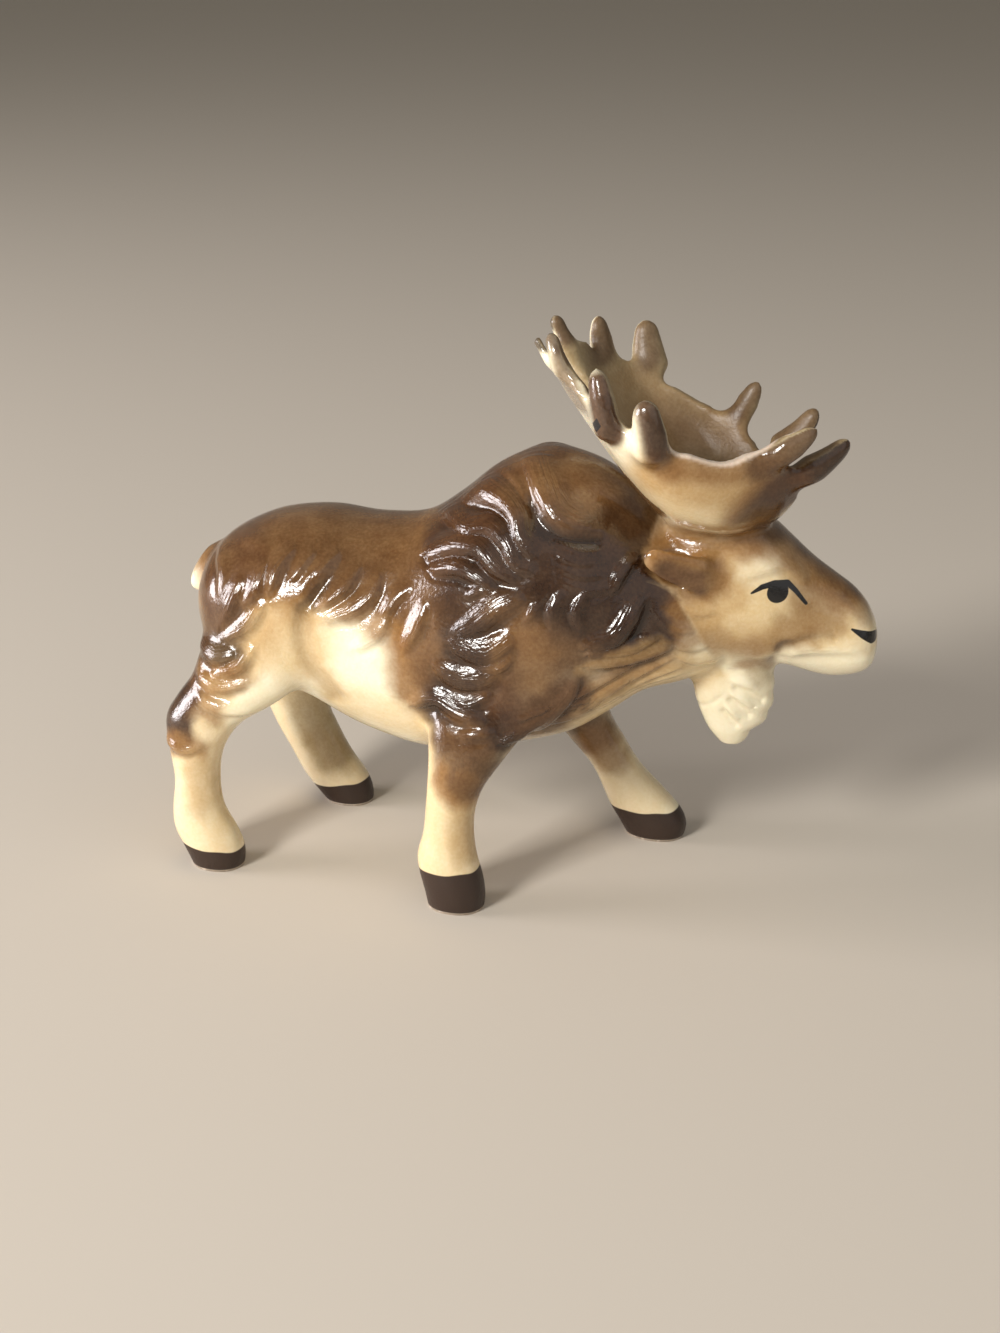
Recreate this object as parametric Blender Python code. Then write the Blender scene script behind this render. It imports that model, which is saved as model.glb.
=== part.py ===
"""Bone china moose figurine: one hollow casting that stands on its four hooves.

The form is drawn on a scale of parts, FORM_LENGTH of them from tail to nose,
so a part is a millimetre on a figure of 95 mm. +X is forward, +Y is the
moose's left side, +Z is up and the ground is z = 0.
"""

import math
from dataclasses import dataclass

import bmesh
import bpy
import numpy as np
from mathutils import Matrix, Vector
from mathutils.bvhtree import BVHTree

# Driving dimensions
FIGURE_LENGTH = 0.095        # metres, tail to nose
FORM_LENGTH = 95.0           # parts in that length
PART = FIGURE_LENGTH / FORM_LENGTH
HEAD_TURN = math.radians(10.0)   # head and antlers look to the moose's left
HEAD_PIVOT_X = 34.0          # where the neck turns
VOXEL = 0.5                  # parts, size of the cells that fuse the forms
MOST_TRIANGLES = 9400

# How finely the forms are drawn before they are fused
TRUNK_RINGS = 56
TRUNK_SIDES = 56
HEAD_RINGS = 40
HEAD_SIDES = 40
LEG_RINGS = 34
LEG_SIDES = 24
FINGER_RINGS = 14
FINGER_SIDES = 16
PALM_COLUMNS = 36
PALM_ROWS = 22
COLLAR_STEPS = 16            # steps along each half of the collar

# Below 1 a cross-section is fuller than an ellipse
WIDTH_POWER = 0.92
HEIGHT_POWER = 0.95

# A finger starts round, tapers evenly and then closes in a round tip
ROOT_END = 0.2               # share of the length where its round root is full
TIP_START = 0.82             # share of the length where the tip begins
TIP_BLUNT = 0.02             # what is left of the area at either end

GLAZE_COLOUR = (0.47, 0.27, 0.12, 1.0)
GLAZE_ROUGHNESS = 0.22


@dataclass(frozen=True)
class Slice:
    """One cross-section of a lying form, such as the trunk or the head."""

    at: float        # place along the form
    top: float
    bottom: float
    half: float      # half of its width
    waist: float     # share of the height where it is widest
    crown: float     # 1 is round on top, more is narrower


@dataclass(frozen=True)
class LegSlice:
    """One level cross-section of a leg."""

    height: float
    rear: float
    front: float
    side: float      # place of its middle across the figure
    half: float      # half of its width across the figure


@dataclass(frozen=True)
class Tine:
    """A finger of an antler, from its root on the palm's rim to its tip."""

    root: tuple
    tip: tuple
    bow: tuple       # how far its middle stands off the straight line
    thick: float     # radius at the root
    fine: float      # radius near the tip


@dataclass(frozen=True)
class Palm:
    """One antler: a cupped plate, its rim from back to front, and its tines."""

    side: int        # 1 is left, -1 is right
    rim: tuple
    bulge: tuple     # how far the plate swells outward, from back to front
    tines: tuple


@dataclass(frozen=True)
class Locks:
    """Rows of raised locks of hair on both flanks, seen from the side."""

    start: tuple     # x and z of the first lock's root
    along: tuple     # step from one lock to the next in a row
    across: tuple    # step from one row to the next
    columns: int
    rows: int
    heading: float   # degrees, 0 is forward and 90 is up
    turn: float      # degrees that a lock bends over its length
    length: float
    width: float
    rise: float


# The trunk from the rump to the neck, which ends inside the head
TRUNK = (
    Slice(-31.3, 39.4, 32.0, 4.6, 0.50, 1.0),
    Slice(-29.9, 42.0, 29.5, 8.4, 0.50, 1.0),
    Slice(-27.0, 44.9, 26.0, 11.8, 0.50, 1.0),
    Slice(-22.0, 47.4, 24.6, 13.4, 0.50, 1.0),
    Slice(-15.0, 48.8, 22.8, 13.8, 0.48, 1.0),
    Slice(-7.0, 48.6, 19.2, 13.8, 0.45, 1.0),
    Slice(0.0, 49.7, 17.4, 14.2, 0.44, 1.02),
    Slice(5.0, 53.2, 17.2, 15.0, 0.44, 1.08),
    Slice(10.0, 57.5, 18.2, 15.6, 0.42, 1.12),
    Slice(16.5, 60.3, 20.0, 15.6, 0.40, 1.15),
    Slice(22.0, 59.4, 22.0, 14.6, 0.42, 1.12),
    Slice(27.0, 56.8, 25.4, 12.6, 0.44, 1.05),
    Slice(31.5, 53.2, 28.8, 10.6, 0.46, 1.0),
    Slice(36.0, 50.5, 30.4, 9.0, 0.48, 1.0),
    Slice(40.5, 48.0, 32.5, 6.6, 0.50, 1.0),
)

# The head, along its own turned axis, with the pivot at 0
HEAD = (
    Slice(-3.5, 50.2, 36.0, 6.0, 0.50, 1.0),
    Slice(0.0, 53.0, 34.0, 7.8, 0.52, 1.0),
    Slice(5.0, 54.6, 33.2, 8.4, 0.52, 1.0),
    Slice(9.0, 54.6, 33.0, 8.3, 0.54, 1.0),
    Slice(12.3, 52.7, 33.0, 7.8, 0.54, 1.0),
    Slice(15.0, 50.4, 33.2, 7.0, 0.54, 1.0),
    Slice(18.0, 47.8, 32.4, 6.0, 0.52, 1.0),
    Slice(21.0, 45.7, 31.9, 5.4, 0.48, 1.0),
    Slice(23.5, 43.9, 32.2, 5.2, 0.46, 1.0),
    Slice(25.3, 41.9, 32.8, 4.6, 0.46, 1.0),
    Slice(26.4, 39.8, 33.8, 3.4, 0.48, 1.0),
)
HEAD_NOSE = 26.9
NOSE_SHARES = (0.55, 0.15)   # sizes of the rings that close the nose

# The bell of hair under the throat, in the head's frame
BELL_TOP = 34.5
BELL_TIP = 20.6
BELL = (
    LegSlice(34.5, 4.2, 13.4, 0.0, 4.2),
    LegSlice(31.0, 2.9, 13.9, 0.0, 3.9),
    LegSlice(28.0, 3.5, 14.0, 0.0, 3.4),
    LegSlice(25.4, 4.5, 13.4, 0.0, 2.8),
    LegSlice(23.0, 5.8, 11.3, 0.0, 2.2),
    LegSlice(21.2, 7.4, 10.0, 0.0, 1.4),
)
BELL_SCALLOPS = 5
BELL_SCALLOP_DEPTH = 0.8
BELL_SCALLOP_MIDDLE = 0.5    # how much of a scallop stands behind the edge

# The legs, from the trunk down into the ground, where they are cut off
NEAR_FORE = (
    LegSlice(34.0, 4.0, 25.0, -9.5, 5.4),
    LegSlice(29.0, 3.4, 22.5, -10.6, 5.2),
    LegSlice(24.6, 4.2, 17.6, -12.4, 4.6),
    LegSlice(20.0, 4.9, 14.3, -14.0, 3.9),
    LegSlice(17.0, 5.0, 12.5, -14.8, 3.5),
    LegSlice(14.0, 4.9, 11.6, -15.1, 3.2),
    LegSlice(10.0, 4.6, 11.5, -15.2, 3.1),
    LegSlice(6.8, 3.9, 12.1, -15.4, 3.4),
    LegSlice(4.6, 4.3, 12.8, -15.5, 3.6),
    LegSlice(2.0, 5.1, 13.3, -15.6, 3.6),
    LegSlice(-1.6, 5.9, 13.0, -15.6, 3.4),
)
NEAR_HIND = (
    LegSlice(36.0, -27.5, -10.0, -8.4, 5.4),
    LegSlice(31.0, -29.0, -11.0, -9.2, 5.3),
    LegSlice(27.0, -29.9, -14.0, -10.2, 4.9),
    LegSlice(24.0, -31.8, -17.8, -11.2, 4.3),
    LegSlice(20.5, -33.3, -22.8, -12.2, 3.7),
    LegSlice(17.0, -32.8, -25.0, -12.7, 3.2),
    LegSlice(12.0, -31.9, -25.6, -13.1, 2.9),
    LegSlice(8.0, -32.2, -24.9, -13.4, 3.1),
    LegSlice(5.0, -31.9, -23.0, -13.6, 3.4),
    LegSlice(2.6, -30.6, -22.0, -13.7, 3.4),
    LegSlice(-1.6, -28.4, -22.4, -13.7, 3.2),
)
FAR_HIND = (
    LegSlice(36.0, -26.5, -9.0, 8.4, 5.4),
    LegSlice(31.0, -27.2, -10.0, 9.2, 5.3),
    LegSlice(27.0, -28.2, -12.5, 10.0, 4.9),
    LegSlice(23.0, -29.4, -15.6, 10.8, 4.3),
    LegSlice(19.0, -29.2, -18.0, 11.2, 3.7),
    LegSlice(15.0, -27.9, -18.4, 11.4, 3.2),
    LegSlice(11.0, -26.2, -16.8, 11.6, 3.0),
    LegSlice(7.0, -23.9, -14.7, 11.8, 3.2),
    LegSlice(4.0, -22.3, -12.6, 12.0, 3.4),
    LegSlice(1.6, -20.3, -11.7, 12.0, 3.3),
    LegSlice(-1.6, -17.0, -12.0, 12.0, 3.1),
)
FAR_FORE = (
    LegSlice(34.0, 6.0, 26.0, 9.5, 5.4),
    LegSlice(29.0, 7.6, 25.6, 10.6, 5.2),
    LegSlice(24.0, 10.6, 24.4, 12.0, 4.6),
    LegSlice(19.0, 14.0, 23.4, 13.0, 3.9),
    LegSlice(14.0, 17.8, 25.9, 13.7, 3.4),
    LegSlice(10.4, 21.0, 28.2, 14.0, 3.2),
    LegSlice(6.5, 23.0, 32.1, 14.2, 3.5),
    LegSlice(4.0, 24.1, 34.4, 14.4, 3.7),
    LegSlice(2.0, 25.4, 35.4, 14.4, 3.6),
    LegSlice(-1.6, 27.6, 34.4, 14.4, 3.2),
)
LEGS = (NEAR_FORE, NEAR_HIND, FAR_HIND, FAR_FORE)

# The short tail, a leaf that lies on the rump
TAIL_ROOT = (-28.2, 0.0, 42.0)
TAIL_TIP = (-33.08, 0.0, 34.4)
TAIL_BOW = (-1.9, 0.0, 0.9)
TAIL_THICK = 2.3
TAIL_FINE = 1.7

# The ears, each a cupped leaf laid back along the neck, in the head's frame
EAR_ROOT = (6.2, 7.6, 46.6)
EAR_TIP = (-4.4, 10.4, 50.2)
EAR_BOW = (0.4, 1.4, -0.6)
EAR_THICK = 3.2
EAR_FINE = 1.0
EAR_FLAT = 0.45              # thickness as a share of the breadth

# The collar that both antlers grow from, in the head's frame
COLLAR_MIDDLE = 5.3
COLLAR_LENGTH = 13.6
COLLAR_WIDTH = 11.6
COLLAR_LOW = 49.5
COLLAR_FOOT = 53.0
COLLAR_HIGH = 57.2
COLLAR_FLARE = 1.12
COLLAR_DISH = 1.9            # how deep its top is hollowed
COLLAR_TILT = 0.10           # the front stands higher than the back
COLLAR_BELT_LOW = 1.2        # how far its belt reaches below and above the foot
COLLAR_BELT_HIGH = 1.4
COLLAR_PROFILE = (           # height and breadth, the breadth as a share of the collar's own
    (COLLAR_LOW, 0.80), (COLLAR_FOOT - COLLAR_BELT_LOW, 0.97), (COLLAR_FOOT, 1.02),
    (COLLAR_FOOT + COLLAR_BELT_HIGH, 1.0),
    (COLLAR_HIGH, COLLAR_FLARE), (COLLAR_HIGH - 0.4 * COLLAR_DISH, 0.8),
    (COLLAR_HIGH - 0.8 * COLLAR_DISH, 0.5), (COLLAR_HIGH - COLLAR_DISH, 0.2),
)

# The antlers, in the head's frame
PALM_ROOT_SPREAD = 0.16      # share of a half turn left open at each end
PALM_ROOT_RISE = 0.5
PALM_THICK = 2.9
PALM_RIM_THICK = 1.6
PALM_BULGE = (1.0, 2.2, 3.0, 3.6, 4.0, 4.0, 3.2, 2.2, 0.6)
RIGHT_PALM = Palm(
    side=-1,
    rim=((-17.4, -5.2, 74.2), (-14.8, -9.2, 73.4), (-12.2, -11.8, 70.8),
         (-6.9, -15.8, 67.8), (-0.1, -15.8, 65.2), (5.4, -14.2, 63.8),
         (10.0, -12.9, 65.7), (13.4, -10.4, 62.4), (15.4, -7.6, 60.4)),
    bulge=PALM_BULGE,
    tines=(
        Tine((-16.2, -5.2, 71.8), (-18.9, -3.9, 75.9), (-0.2, -0.4, 0.0), 1.5, 0.7),
        Tine((-14.6, -8.4, 71.6), (-17.0, -6.8, 77.2), (-0.4, -0.8, 0.0), 2.3, 0.9),
        Tine((-8.6, -13.9, 65.4), (-11.0, -13.2, 74.4), (-0.2, -1.0, 0.0), 2.9, 1.3),
        Tine((-3.8, -15.6, 63.6), (-4.9, -17.6, 71.9), (0.0, -1.2, 0.0), 3.3, 1.3),
        Tine((9.8, -12.6, 63.6), (15.9, -12.8, 68.1), (0.5, -0.6, -0.1), 2.8, 0.8),
        Tine((13.2, -9.0, 60.4), (20.3, -8.0, 65.7), (0.6, -0.8, -0.6), 2.8, 1.1),
    ),
)
LEFT_PALM = Palm(
    side=1,
    rim=((-17.2, 5.2, 73.6), (-15.0, 9.2, 73.2), (-12.2, 11.8, 71.2),
         (-7.5, 16.0, 69.0), (-1.8, 15.6, 66.0), (3.8, 14.0, 63.6),
         (6.8, 12.8, 63.4), (10.0, 10.2, 59.4), (12.6, 7.4, 59.0)),
    bulge=PALM_BULGE,
    tines=(
        Tine((-14.4, 6.4, 70.6), (-17.5, 6.8, 76.6), (-0.2, 0.5, 0.2), 2.5, 0.9),
        Tine((-10.4, 13.0, 67.6), (-12.0, 13.4, 75.5), (-0.3, 1.0, 0.0), 3.0, 1.0),
        Tine((-4.6, 16.4, 66.0), (-5.7, 17.9, 74.3), (-0.1, 1.2, 0.0), 3.2, 1.3),
        Tine((6.4, 13.0, 61.0), (9.7, 13.0, 67.6), (0.3, 0.6, -0.2), 2.5, 0.9),
        Tine((11.6, 9.0, 58.6), (17.3, 8.0, 65.5), (0.9, 0.6, -0.8), 2.5, 1.1),
    ),
)
TINE_FLAT = 0.80             # depth across the palm as a share of the breadth

# Fillets where two forms meet, as a reach in parts, and how often they are eased
LIMB_FILLET = 3.4
HEAD_FILLET = 3.0
ANTLER_FILLET = 2.3
SMALL_FILLET = 1.2
JOINT_EASE = 0.85
JOINT_ROUNDS = 26
SKIN_EASE = 0.35             # how far the whole skin is evened out
SKIN_ROUNDS = 2

# How a lock of hair is drawn, and how like locks differ a little from each other
LOCK_STEPS = 40
LOCK_ROOT = 0.12             # how full it starts, the whole length being 1
LOCK_TAPER = 0.7             # below 1 it stays full nearly to its ends
LOCK_LEAST_WIDTH = 0.45      # share of the width left at its ends
LOCK_ROW_SWAY = 2.4
LOCK_COLUMN_SWAY = 1.7
LOCK_SWAY_TURN = 7.0         # degrees
LOCK_SWAY_LENGTH = 0.12      # share of the length
FLANK_FROM = 0.15            # how far a surface must face sideways to carry hair
FLANK_FULL = 0.50

# The carved coat, one row or patch of like locks to an entry
COAT = (
    Locks((8.2, 56.4), (-2.3, -2.6), (0.0, 0.0), 4, 1, 14.0, -62.0, 13.4, 1.6, 0.80),
    Locks((17.6, 50.4), (0.9, -2.4), (0.0, 0.0), 3, 1, -8.0, 26.0, 9.0, 1.4, 0.50),
    Locks((10.0, 38.4), (-0.7, -2.7), (0.0, 0.0), 4, 1, 50.0, -42.0, 7.4, 1.6, 0.65),
    Locks((4.6, 30.0), (0.4, -1.9), (0.0, 0.0), 2, 1, -14.0, 12.0, 9.0, 1.3, 0.55),
    Locks((15.2, 25.0), (3.5, 1.0), (0.0, 0.0), 4, 1, 16.0, 36.0, 7.6, 1.5, 0.50),
    Locks((24.4, 36.2), (2.2, -1.9), (0.0, 0.0), 3, 1, 4.0, 14.0, 9.6, 1.3, 0.45),
    Locks((24.6, 39.6), (3.0, 0.4), (-2.6, 6.2), 2, 2, 40.0, 26.0, 7.0, 1.6, 0.50),
    Locks((-17.4, 40.8), (4.4, -0.7), (4.4, -5.4), 5, 2, 84.0, -46.0, 6.4, 1.6, 0.55),
    Locks((-28.8, 32.2), (3.5, 0.8), (0.0, 0.0), 3, 1, 52.0, 34.0, 8.2, 1.7, 0.50),
    Locks((-27.4, 28.8), (0.3, -2.7), (0.0, 0.0), 3, 1, -22.0, 54.0, 9.6, 1.4, 0.45),
)


def smooth_columns(table, count):
    """Read a table's rows at even steps along a smooth curve through them."""
    table = np.asarray(table, float)
    knots = np.concatenate([[0.0], np.cumsum(np.linalg.norm(np.diff(table, axis=0), axis=1))])
    slopes = np.gradient(table, knots, axis=0)
    places = np.linspace(0.0, knots[-1], count)
    cell = np.clip(np.searchsorted(knots, places, side="right") - 1, 0, len(knots) - 2)
    span = (knots[cell + 1] - knots[cell])[:, None]
    t = ((places - knots[cell])[:, None]) / span
    return ((2 * t**3 - 3 * t**2 + 1) * table[cell] + (t**3 - 2 * t**2 + t) * span * slopes[cell]
            + (3 * t**2 - 2 * t**3) * table[cell + 1] + (t**3 - t**2) * span * slopes[cell + 1])


def power(value, exponent):
    """Raise to a power and keep the sign."""
    return np.sign(value) * np.abs(value) ** exponent


def loft(rings):
    """Close a row of rings into one skin with a cap at each end."""
    work = bmesh.new()
    rows = [[work.verts.new(Vector(point)) for point in ring] for ring in rings]
    count = len(rows[0])
    for lower, upper in zip(rows, rows[1:]):
        for i in range(count):
            j = (i + 1) % count
            work.faces.new((lower[i], lower[j], upper[j], upper[i]))
    work.faces.new(rows[0])
    work.faces.new(rows[-1])
    bmesh.ops.triangulate(work, faces=work.faces[:])
    bmesh.ops.recalc_face_normals(work, faces=work.faces[:])
    return work


def lying_form(slices, rings, sides):
    """Loft a form whose cross-sections stand across the figure."""
    table = smooth_columns([(s.at, s.top, s.bottom, s.half, s.waist, s.crown) for s in slices], rings)
    angle = np.linspace(0.0, 2.0 * math.pi, sides, endpoint=False)
    cosine, sine = np.cos(angle), np.sin(angle)
    outline = []
    for at, top, bottom, half, waist, crown in table:
        middle = bottom + waist * (top - bottom)
        pinch = np.where(sine > 0.0, crown, 1.0)
        across = half * power(cosine, WIDTH_POWER * pinch)
        reach = np.where(sine > 0.0, top - middle, middle - bottom)
        outline.append(np.column_stack([np.full(sides, at), across,
                                        middle + reach * power(sine, HEIGHT_POWER)]))
    return outline


def standing_form(slices):
    """Loft a leg or a bell, whose cross-sections are level."""
    table = smooth_columns([(s.height, s.rear, s.front, s.side, s.half) for s in slices], LEG_RINGS)
    angle = np.linspace(0.0, 2.0 * math.pi, LEG_SIDES, endpoint=False)
    outline = []
    for height, rear, front, side, half in table:
        middle, reach = (front + rear) / 2.0, (front - rear) / 2.0
        outline.append(np.column_stack([middle + reach * power(np.cos(angle), WIDTH_POWER),
                                        side + half * power(np.sin(angle), WIDTH_POWER),
                                        np.full(LEG_SIDES, height)]))
    return outline


def tapered_tube(root, tip, bow, thick, fine, flat=1.0, across=None):
    """Rings of a bowed finger that ends in a round tip, flattened along across."""
    root, tip, bow = (np.array(value, float) for value in (root, tip, bow))
    middle = (root + tip) / 2.0 + bow
    turns = np.linspace(0.0, 2.0 * math.pi, FINGER_SIDES, endpoint=False)
    outline = []
    for t in np.linspace(0.0, 1.0, FINGER_RINGS):
        centre = (1 - t) ** 2 * root + 2 * t * (1 - t) * middle + t * t * tip
        ahead = 2 * (1 - t) * (middle - root) + 2 * t * (tip - middle)
        ahead /= np.linalg.norm(ahead)
        sideways = np.cross(ahead, (0.0, 0.0, 1.0)) if across is None else across
        sideways = sideways - (sideways @ ahead) * ahead
        sideways /= np.linalg.norm(sideways)
        upward = np.cross(sideways, ahead)
        closing = max(1 - t / ROOT_END, (t - TIP_START) / (1 - TIP_START), 0.0)
        radius = (thick + (fine - thick) * t) * math.sqrt(max(1 - closing**2, TIP_BLUNT))
        outline.append(centre + radius * (np.outer(np.cos(turns) * flat, sideways)
                                          + np.outer(np.sin(turns), upward)))
    return outline


def collar_point(share, side, height, scale=1.0):
    """A point on the antlers' collar, from its back at 0 to its front at 1."""
    turn = math.pi * share
    along = COLLAR_MIDDLE - scale * COLLAR_LENGTH / 2.0 * math.cos(turn)
    across = side * scale * COLLAR_WIDTH / 2.0 * math.sin(turn)
    return np.array([along, across, height + COLLAR_TILT * (along - COLLAR_MIDDLE)])


def palm_sheet(palm):
    """The sheet halfway through a palm, in columns from root to rim, and its normals."""
    rim = smooth_columns(palm.rim, PALM_COLUMNS)
    places = np.linspace(0, len(palm.bulge) - 1, PALM_COLUMNS)
    swell = np.interp(places, np.arange(len(palm.bulge)), palm.bulge)
    steps = np.linspace(0.0, 1.0, PALM_ROWS)[:, None]
    sheet = np.zeros((PALM_COLUMNS, PALM_ROWS, 3))
    for i in range(PALM_COLUMNS):
        share = PALM_ROOT_SPREAD + (1.0 - 2.0 * PALM_ROOT_SPREAD) * i / (PALM_COLUMNS - 1)
        root = collar_point(share, palm.side, COLLAR_FOOT + PALM_ROOT_RISE)
        pull = (root + rim[i]) / 2.0 + np.array([0.0, palm.side * swell[i], -swell[i]])
        sheet[i] = (1 - steps) ** 2 * root + 2 * steps * (1 - steps) * pull + steps**2 * rim[i]
    normal = np.cross(np.gradient(sheet, axis=0), np.gradient(sheet, axis=1))
    return sheet, normal / np.linalg.norm(normal, axis=2, keepdims=True)


def palm_plate(sheet, normal):
    """The closed skin of one cupped palm, thick at its root and thin at its rim."""
    columns, rows = sheet.shape[:2]
    half = np.linspace(PALM_THICK, PALM_RIM_THICK, rows)[None, :, None] / 2.0
    outer, inner = sheet + normal * half, sheet - normal * half
    work = bmesh.new()
    skins = [[[work.verts.new(Vector(skin[i, j])) for j in range(rows)] for i in range(columns)]
             for skin in (outer, inner)]
    for skin in skins:
        for i in range(columns - 1):
            for j in range(rows - 1):
                work.faces.new((skin[i][j], skin[i + 1][j], skin[i + 1][j + 1], skin[i][j + 1]))
    edge = ([(i, 0) for i in range(columns)] + [(columns - 1, j) for j in range(1, rows)]
            + [(i, rows - 1) for i in range(columns - 2, -1, -1)]
            + [(0, j) for j in range(rows - 2, 0, -1)])
    for (a, b), (c, d) in zip(edge, edge[1:] + edge[:1]):
        work.faces.new((skins[0][a][b], skins[0][c][d], skins[1][c][d], skins[1][a][b]))
    bmesh.ops.triangulate(work, faces=work.faces[:])
    bmesh.ops.recalc_face_normals(work, faces=work.faces[:])
    return work


def collar():
    """The solid cup under the antlers."""
    outline = []
    for height, scale in COLLAR_PROFILE:
        right = [collar_point(k / COLLAR_STEPS, -1, height, scale) for k in range(COLLAR_STEPS + 1)]
        left = [collar_point(k / COLLAR_STEPS, 1, height, scale) for k in range(COLLAR_STEPS - 1, 0, -1)]
        outline.append(np.array(right + left))
    return loft(outline)


def turn_with_head(work):
    """Set a form from the head's own frame into the figure's."""
    bmesh.ops.transform(work, verts=work.verts[:],
                        matrix=Matrix.Translation((HEAD_PIVOT_X, 0.0, 0.0))
                        @ Matrix.Rotation(HEAD_TURN, 4, "Z"))
    return work


def bell():
    """The bell of hair, with a scalloped front edge."""
    outline = standing_form(BELL)
    for ring in outline:
        height = ring[0, 2]
        share = np.clip((BELL_TOP - height) / (BELL_TOP - BELL_TIP), 0.0, 1.0)
        wave = abs(math.sin(math.pi * BELL_SCALLOPS * share)) - BELL_SCALLOP_MIDDLE
        middle = ring[:, 0].mean()
        front = np.clip((ring[:, 0] - middle) / (ring[:, 0].max() - middle), 0.0, 1.0)
        ring[:, 0] += BELL_SCALLOP_DEPTH * share * wave * front
    return loft(outline)


def nosed_head():
    """The head, closed by a small round nose."""
    outline = lying_form(HEAD, HEAD_RINGS, HEAD_SIDES)
    last = outline[-1]
    centre = last.mean(axis=0)
    for share in NOSE_SHARES:
        ring = centre + (last - centre) * share
        ring[:, 0] = HEAD_NOSE - (HEAD_NOSE - last[0, 0]) * share ** 2
        outline.append(ring)
    return loft(outline)


def antler_forms(palm):
    """One palm and its tines, each flattened like the palm where it grows."""
    sheet, normal = palm_sheet(palm)
    spots, normals = sheet.reshape(-1, 3), normal.reshape(-1, 3)
    forms = [(palm_plate(sheet, normal), ANTLER_FILLET)]
    for tine in palm.tines:
        across = normals[np.linalg.norm(spots - tine.root, axis=1).argmin()]
        finger = tapered_tube(tine.root, tine.tip, tine.bow, tine.thick, tine.fine, TINE_FLAT, across)
        forms.append((loft(finger), ANTLER_FILLET))
    return forms


def all_forms():
    """Every closed form of the figure with the reach of its fillet."""
    forms = [(loft(lying_form(TRUNK, TRUNK_RINGS, TRUNK_SIDES)), LIMB_FILLET)]
    forms += [(loft(standing_form(leg)), LIMB_FILLET) for leg in LEGS]
    forms.append((loft(tapered_tube(TAIL_ROOT, TAIL_TIP, TAIL_BOW, TAIL_THICK, TAIL_FINE)),
                  SMALL_FILLET))
    heads = [(nosed_head(), HEAD_FILLET), (bell(), SMALL_FILLET), (collar(), SMALL_FILLET)]
    for side in (-1, 1):
        root, tip, bow = (np.array(value) * (1, side, 1) for value in (EAR_ROOT, EAR_TIP, EAR_BOW))
        heads.append((loft(tapered_tube(root, tip, bow, EAR_THICK, EAR_FINE, EAR_FLAT)), SMALL_FILLET))
    heads += antler_forms(RIGHT_PALM) + antler_forms(LEFT_PALM)
    return forms + [(turn_with_head(work), reach) for work, reach in heads]


def fused(forms):
    """Fuse overlapping closed forms into one skin of even cells."""
    work = bmesh.new()
    for form, _ in forms:
        mesh = bpy.data.meshes.new("form")
        form.to_mesh(mesh)
        work.from_mesh(mesh)
        bpy.data.meshes.remove(mesh)
    mesh = bpy.data.meshes.new("moose_figurine")
    work.to_mesh(mesh)
    work.free()
    figure = bpy.data.objects.new("moose_figurine", mesh)
    bpy.context.scene.collection.objects.link(figure)
    remesh = figure.modifiers.new("fuse", "REMESH")
    remesh.mode = "VOXEL"
    remesh.voxel_size = VOXEL
    remesh.adaptivity = 0.0
    apply_modifiers(figure)
    return figure


def apply_modifiers(figure):
    """Replace an object's mesh by what its modifiers make of it."""
    shaped = bpy.data.meshes.new_from_object(
        figure.evaluated_get(bpy.context.evaluated_depsgraph_get()))
    old = figure.data
    figure.modifiers.clear()
    figure.data = shaped
    bpy.data.meshes.remove(old)


def read_points(mesh):
    """The mesh's points and edges as arrays."""
    points = np.empty(len(mesh.vertices) * 3)
    mesh.vertices.foreach_get("co", points)
    edges = np.empty(len(mesh.edges) * 2, dtype=np.int64)
    mesh.edges.foreach_get("vertices", edges)
    return points.reshape(-1, 3), edges.reshape(-1, 2)


def write_points(mesh, points):
    """Put changed points back into the mesh."""
    mesh.vertices.foreach_set("co", points.ravel())
    mesh.update()


def eased(points, edges, weight, rounds):
    """Draw each point towards its neighbours, by its own weight."""
    count = np.bincount(edges.ravel(), minlength=len(points)).astype(float)
    for _ in range(int(rounds)):
        total = np.empty_like(points)
        for axis in range(3):
            column = points[:, axis]
            total[:, axis] = (np.bincount(edges[:, 0], column[edges[:, 1]], len(points))
                              + np.bincount(edges[:, 1], column[edges[:, 0]], len(points)))
        points = points + weight[:, None] * (total / count[:, None] - points)
    return points


def junction_weight(points, forms):
    """How near each point is to a second form, from 0 out on a form to 1 in a joint."""
    nearest = np.full((2, len(points)), 1.0)
    for form, reach in forms:
        tree = BVHTree.FromBMesh(form)
        lows = np.min([v.co for v in form.verts], axis=0) - reach
        highs = np.max([v.co for v in form.verts], axis=0) + reach
        near = np.flatnonzero(np.all((points > lows) & (points < highs), axis=1))
        for index in near:
            found = tree.find_nearest(Vector(points[index]), reach)
            if found[0] is None:
                continue
            share = found[3] / reach
            if share < nearest[0, index]:
                nearest[1, index] = nearest[0, index]
                nearest[0, index] = share
            elif share < nearest[1, index]:
                nearest[1, index] = share
    return np.sin((1 - nearest[1]) * math.pi / 2) ** 2


def lock_paths(locks):
    """The bowed course of every lock in a patch, in x and z."""
    paths = []
    for row in range(locks.rows):
        for column in range(locks.columns):
            sway = math.sin(LOCK_ROW_SWAY * row + LOCK_COLUMN_SWAY * column)
            x = locks.start[0] + column * locks.along[0] + row * locks.across[0]
            z = locks.start[1] + column * locks.along[1] + row * locks.across[1]
            heading = math.radians(locks.heading + LOCK_SWAY_TURN * sway)
            bend = math.radians(locks.turn)
            steps = np.linspace(0.0, 1.0, int(LOCK_STEPS))
            angles = heading + bend * steps
            stride = locks.length * (1.0 + LOCK_SWAY_LENGTH * sway) / (len(steps) - 1)
            path = np.column_stack([x + np.cumsum(np.cos(angles)) * stride,
                                    z + np.cumsum(np.sin(angles)) * stride])
            paths.append((path, steps))
    return paths


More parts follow.
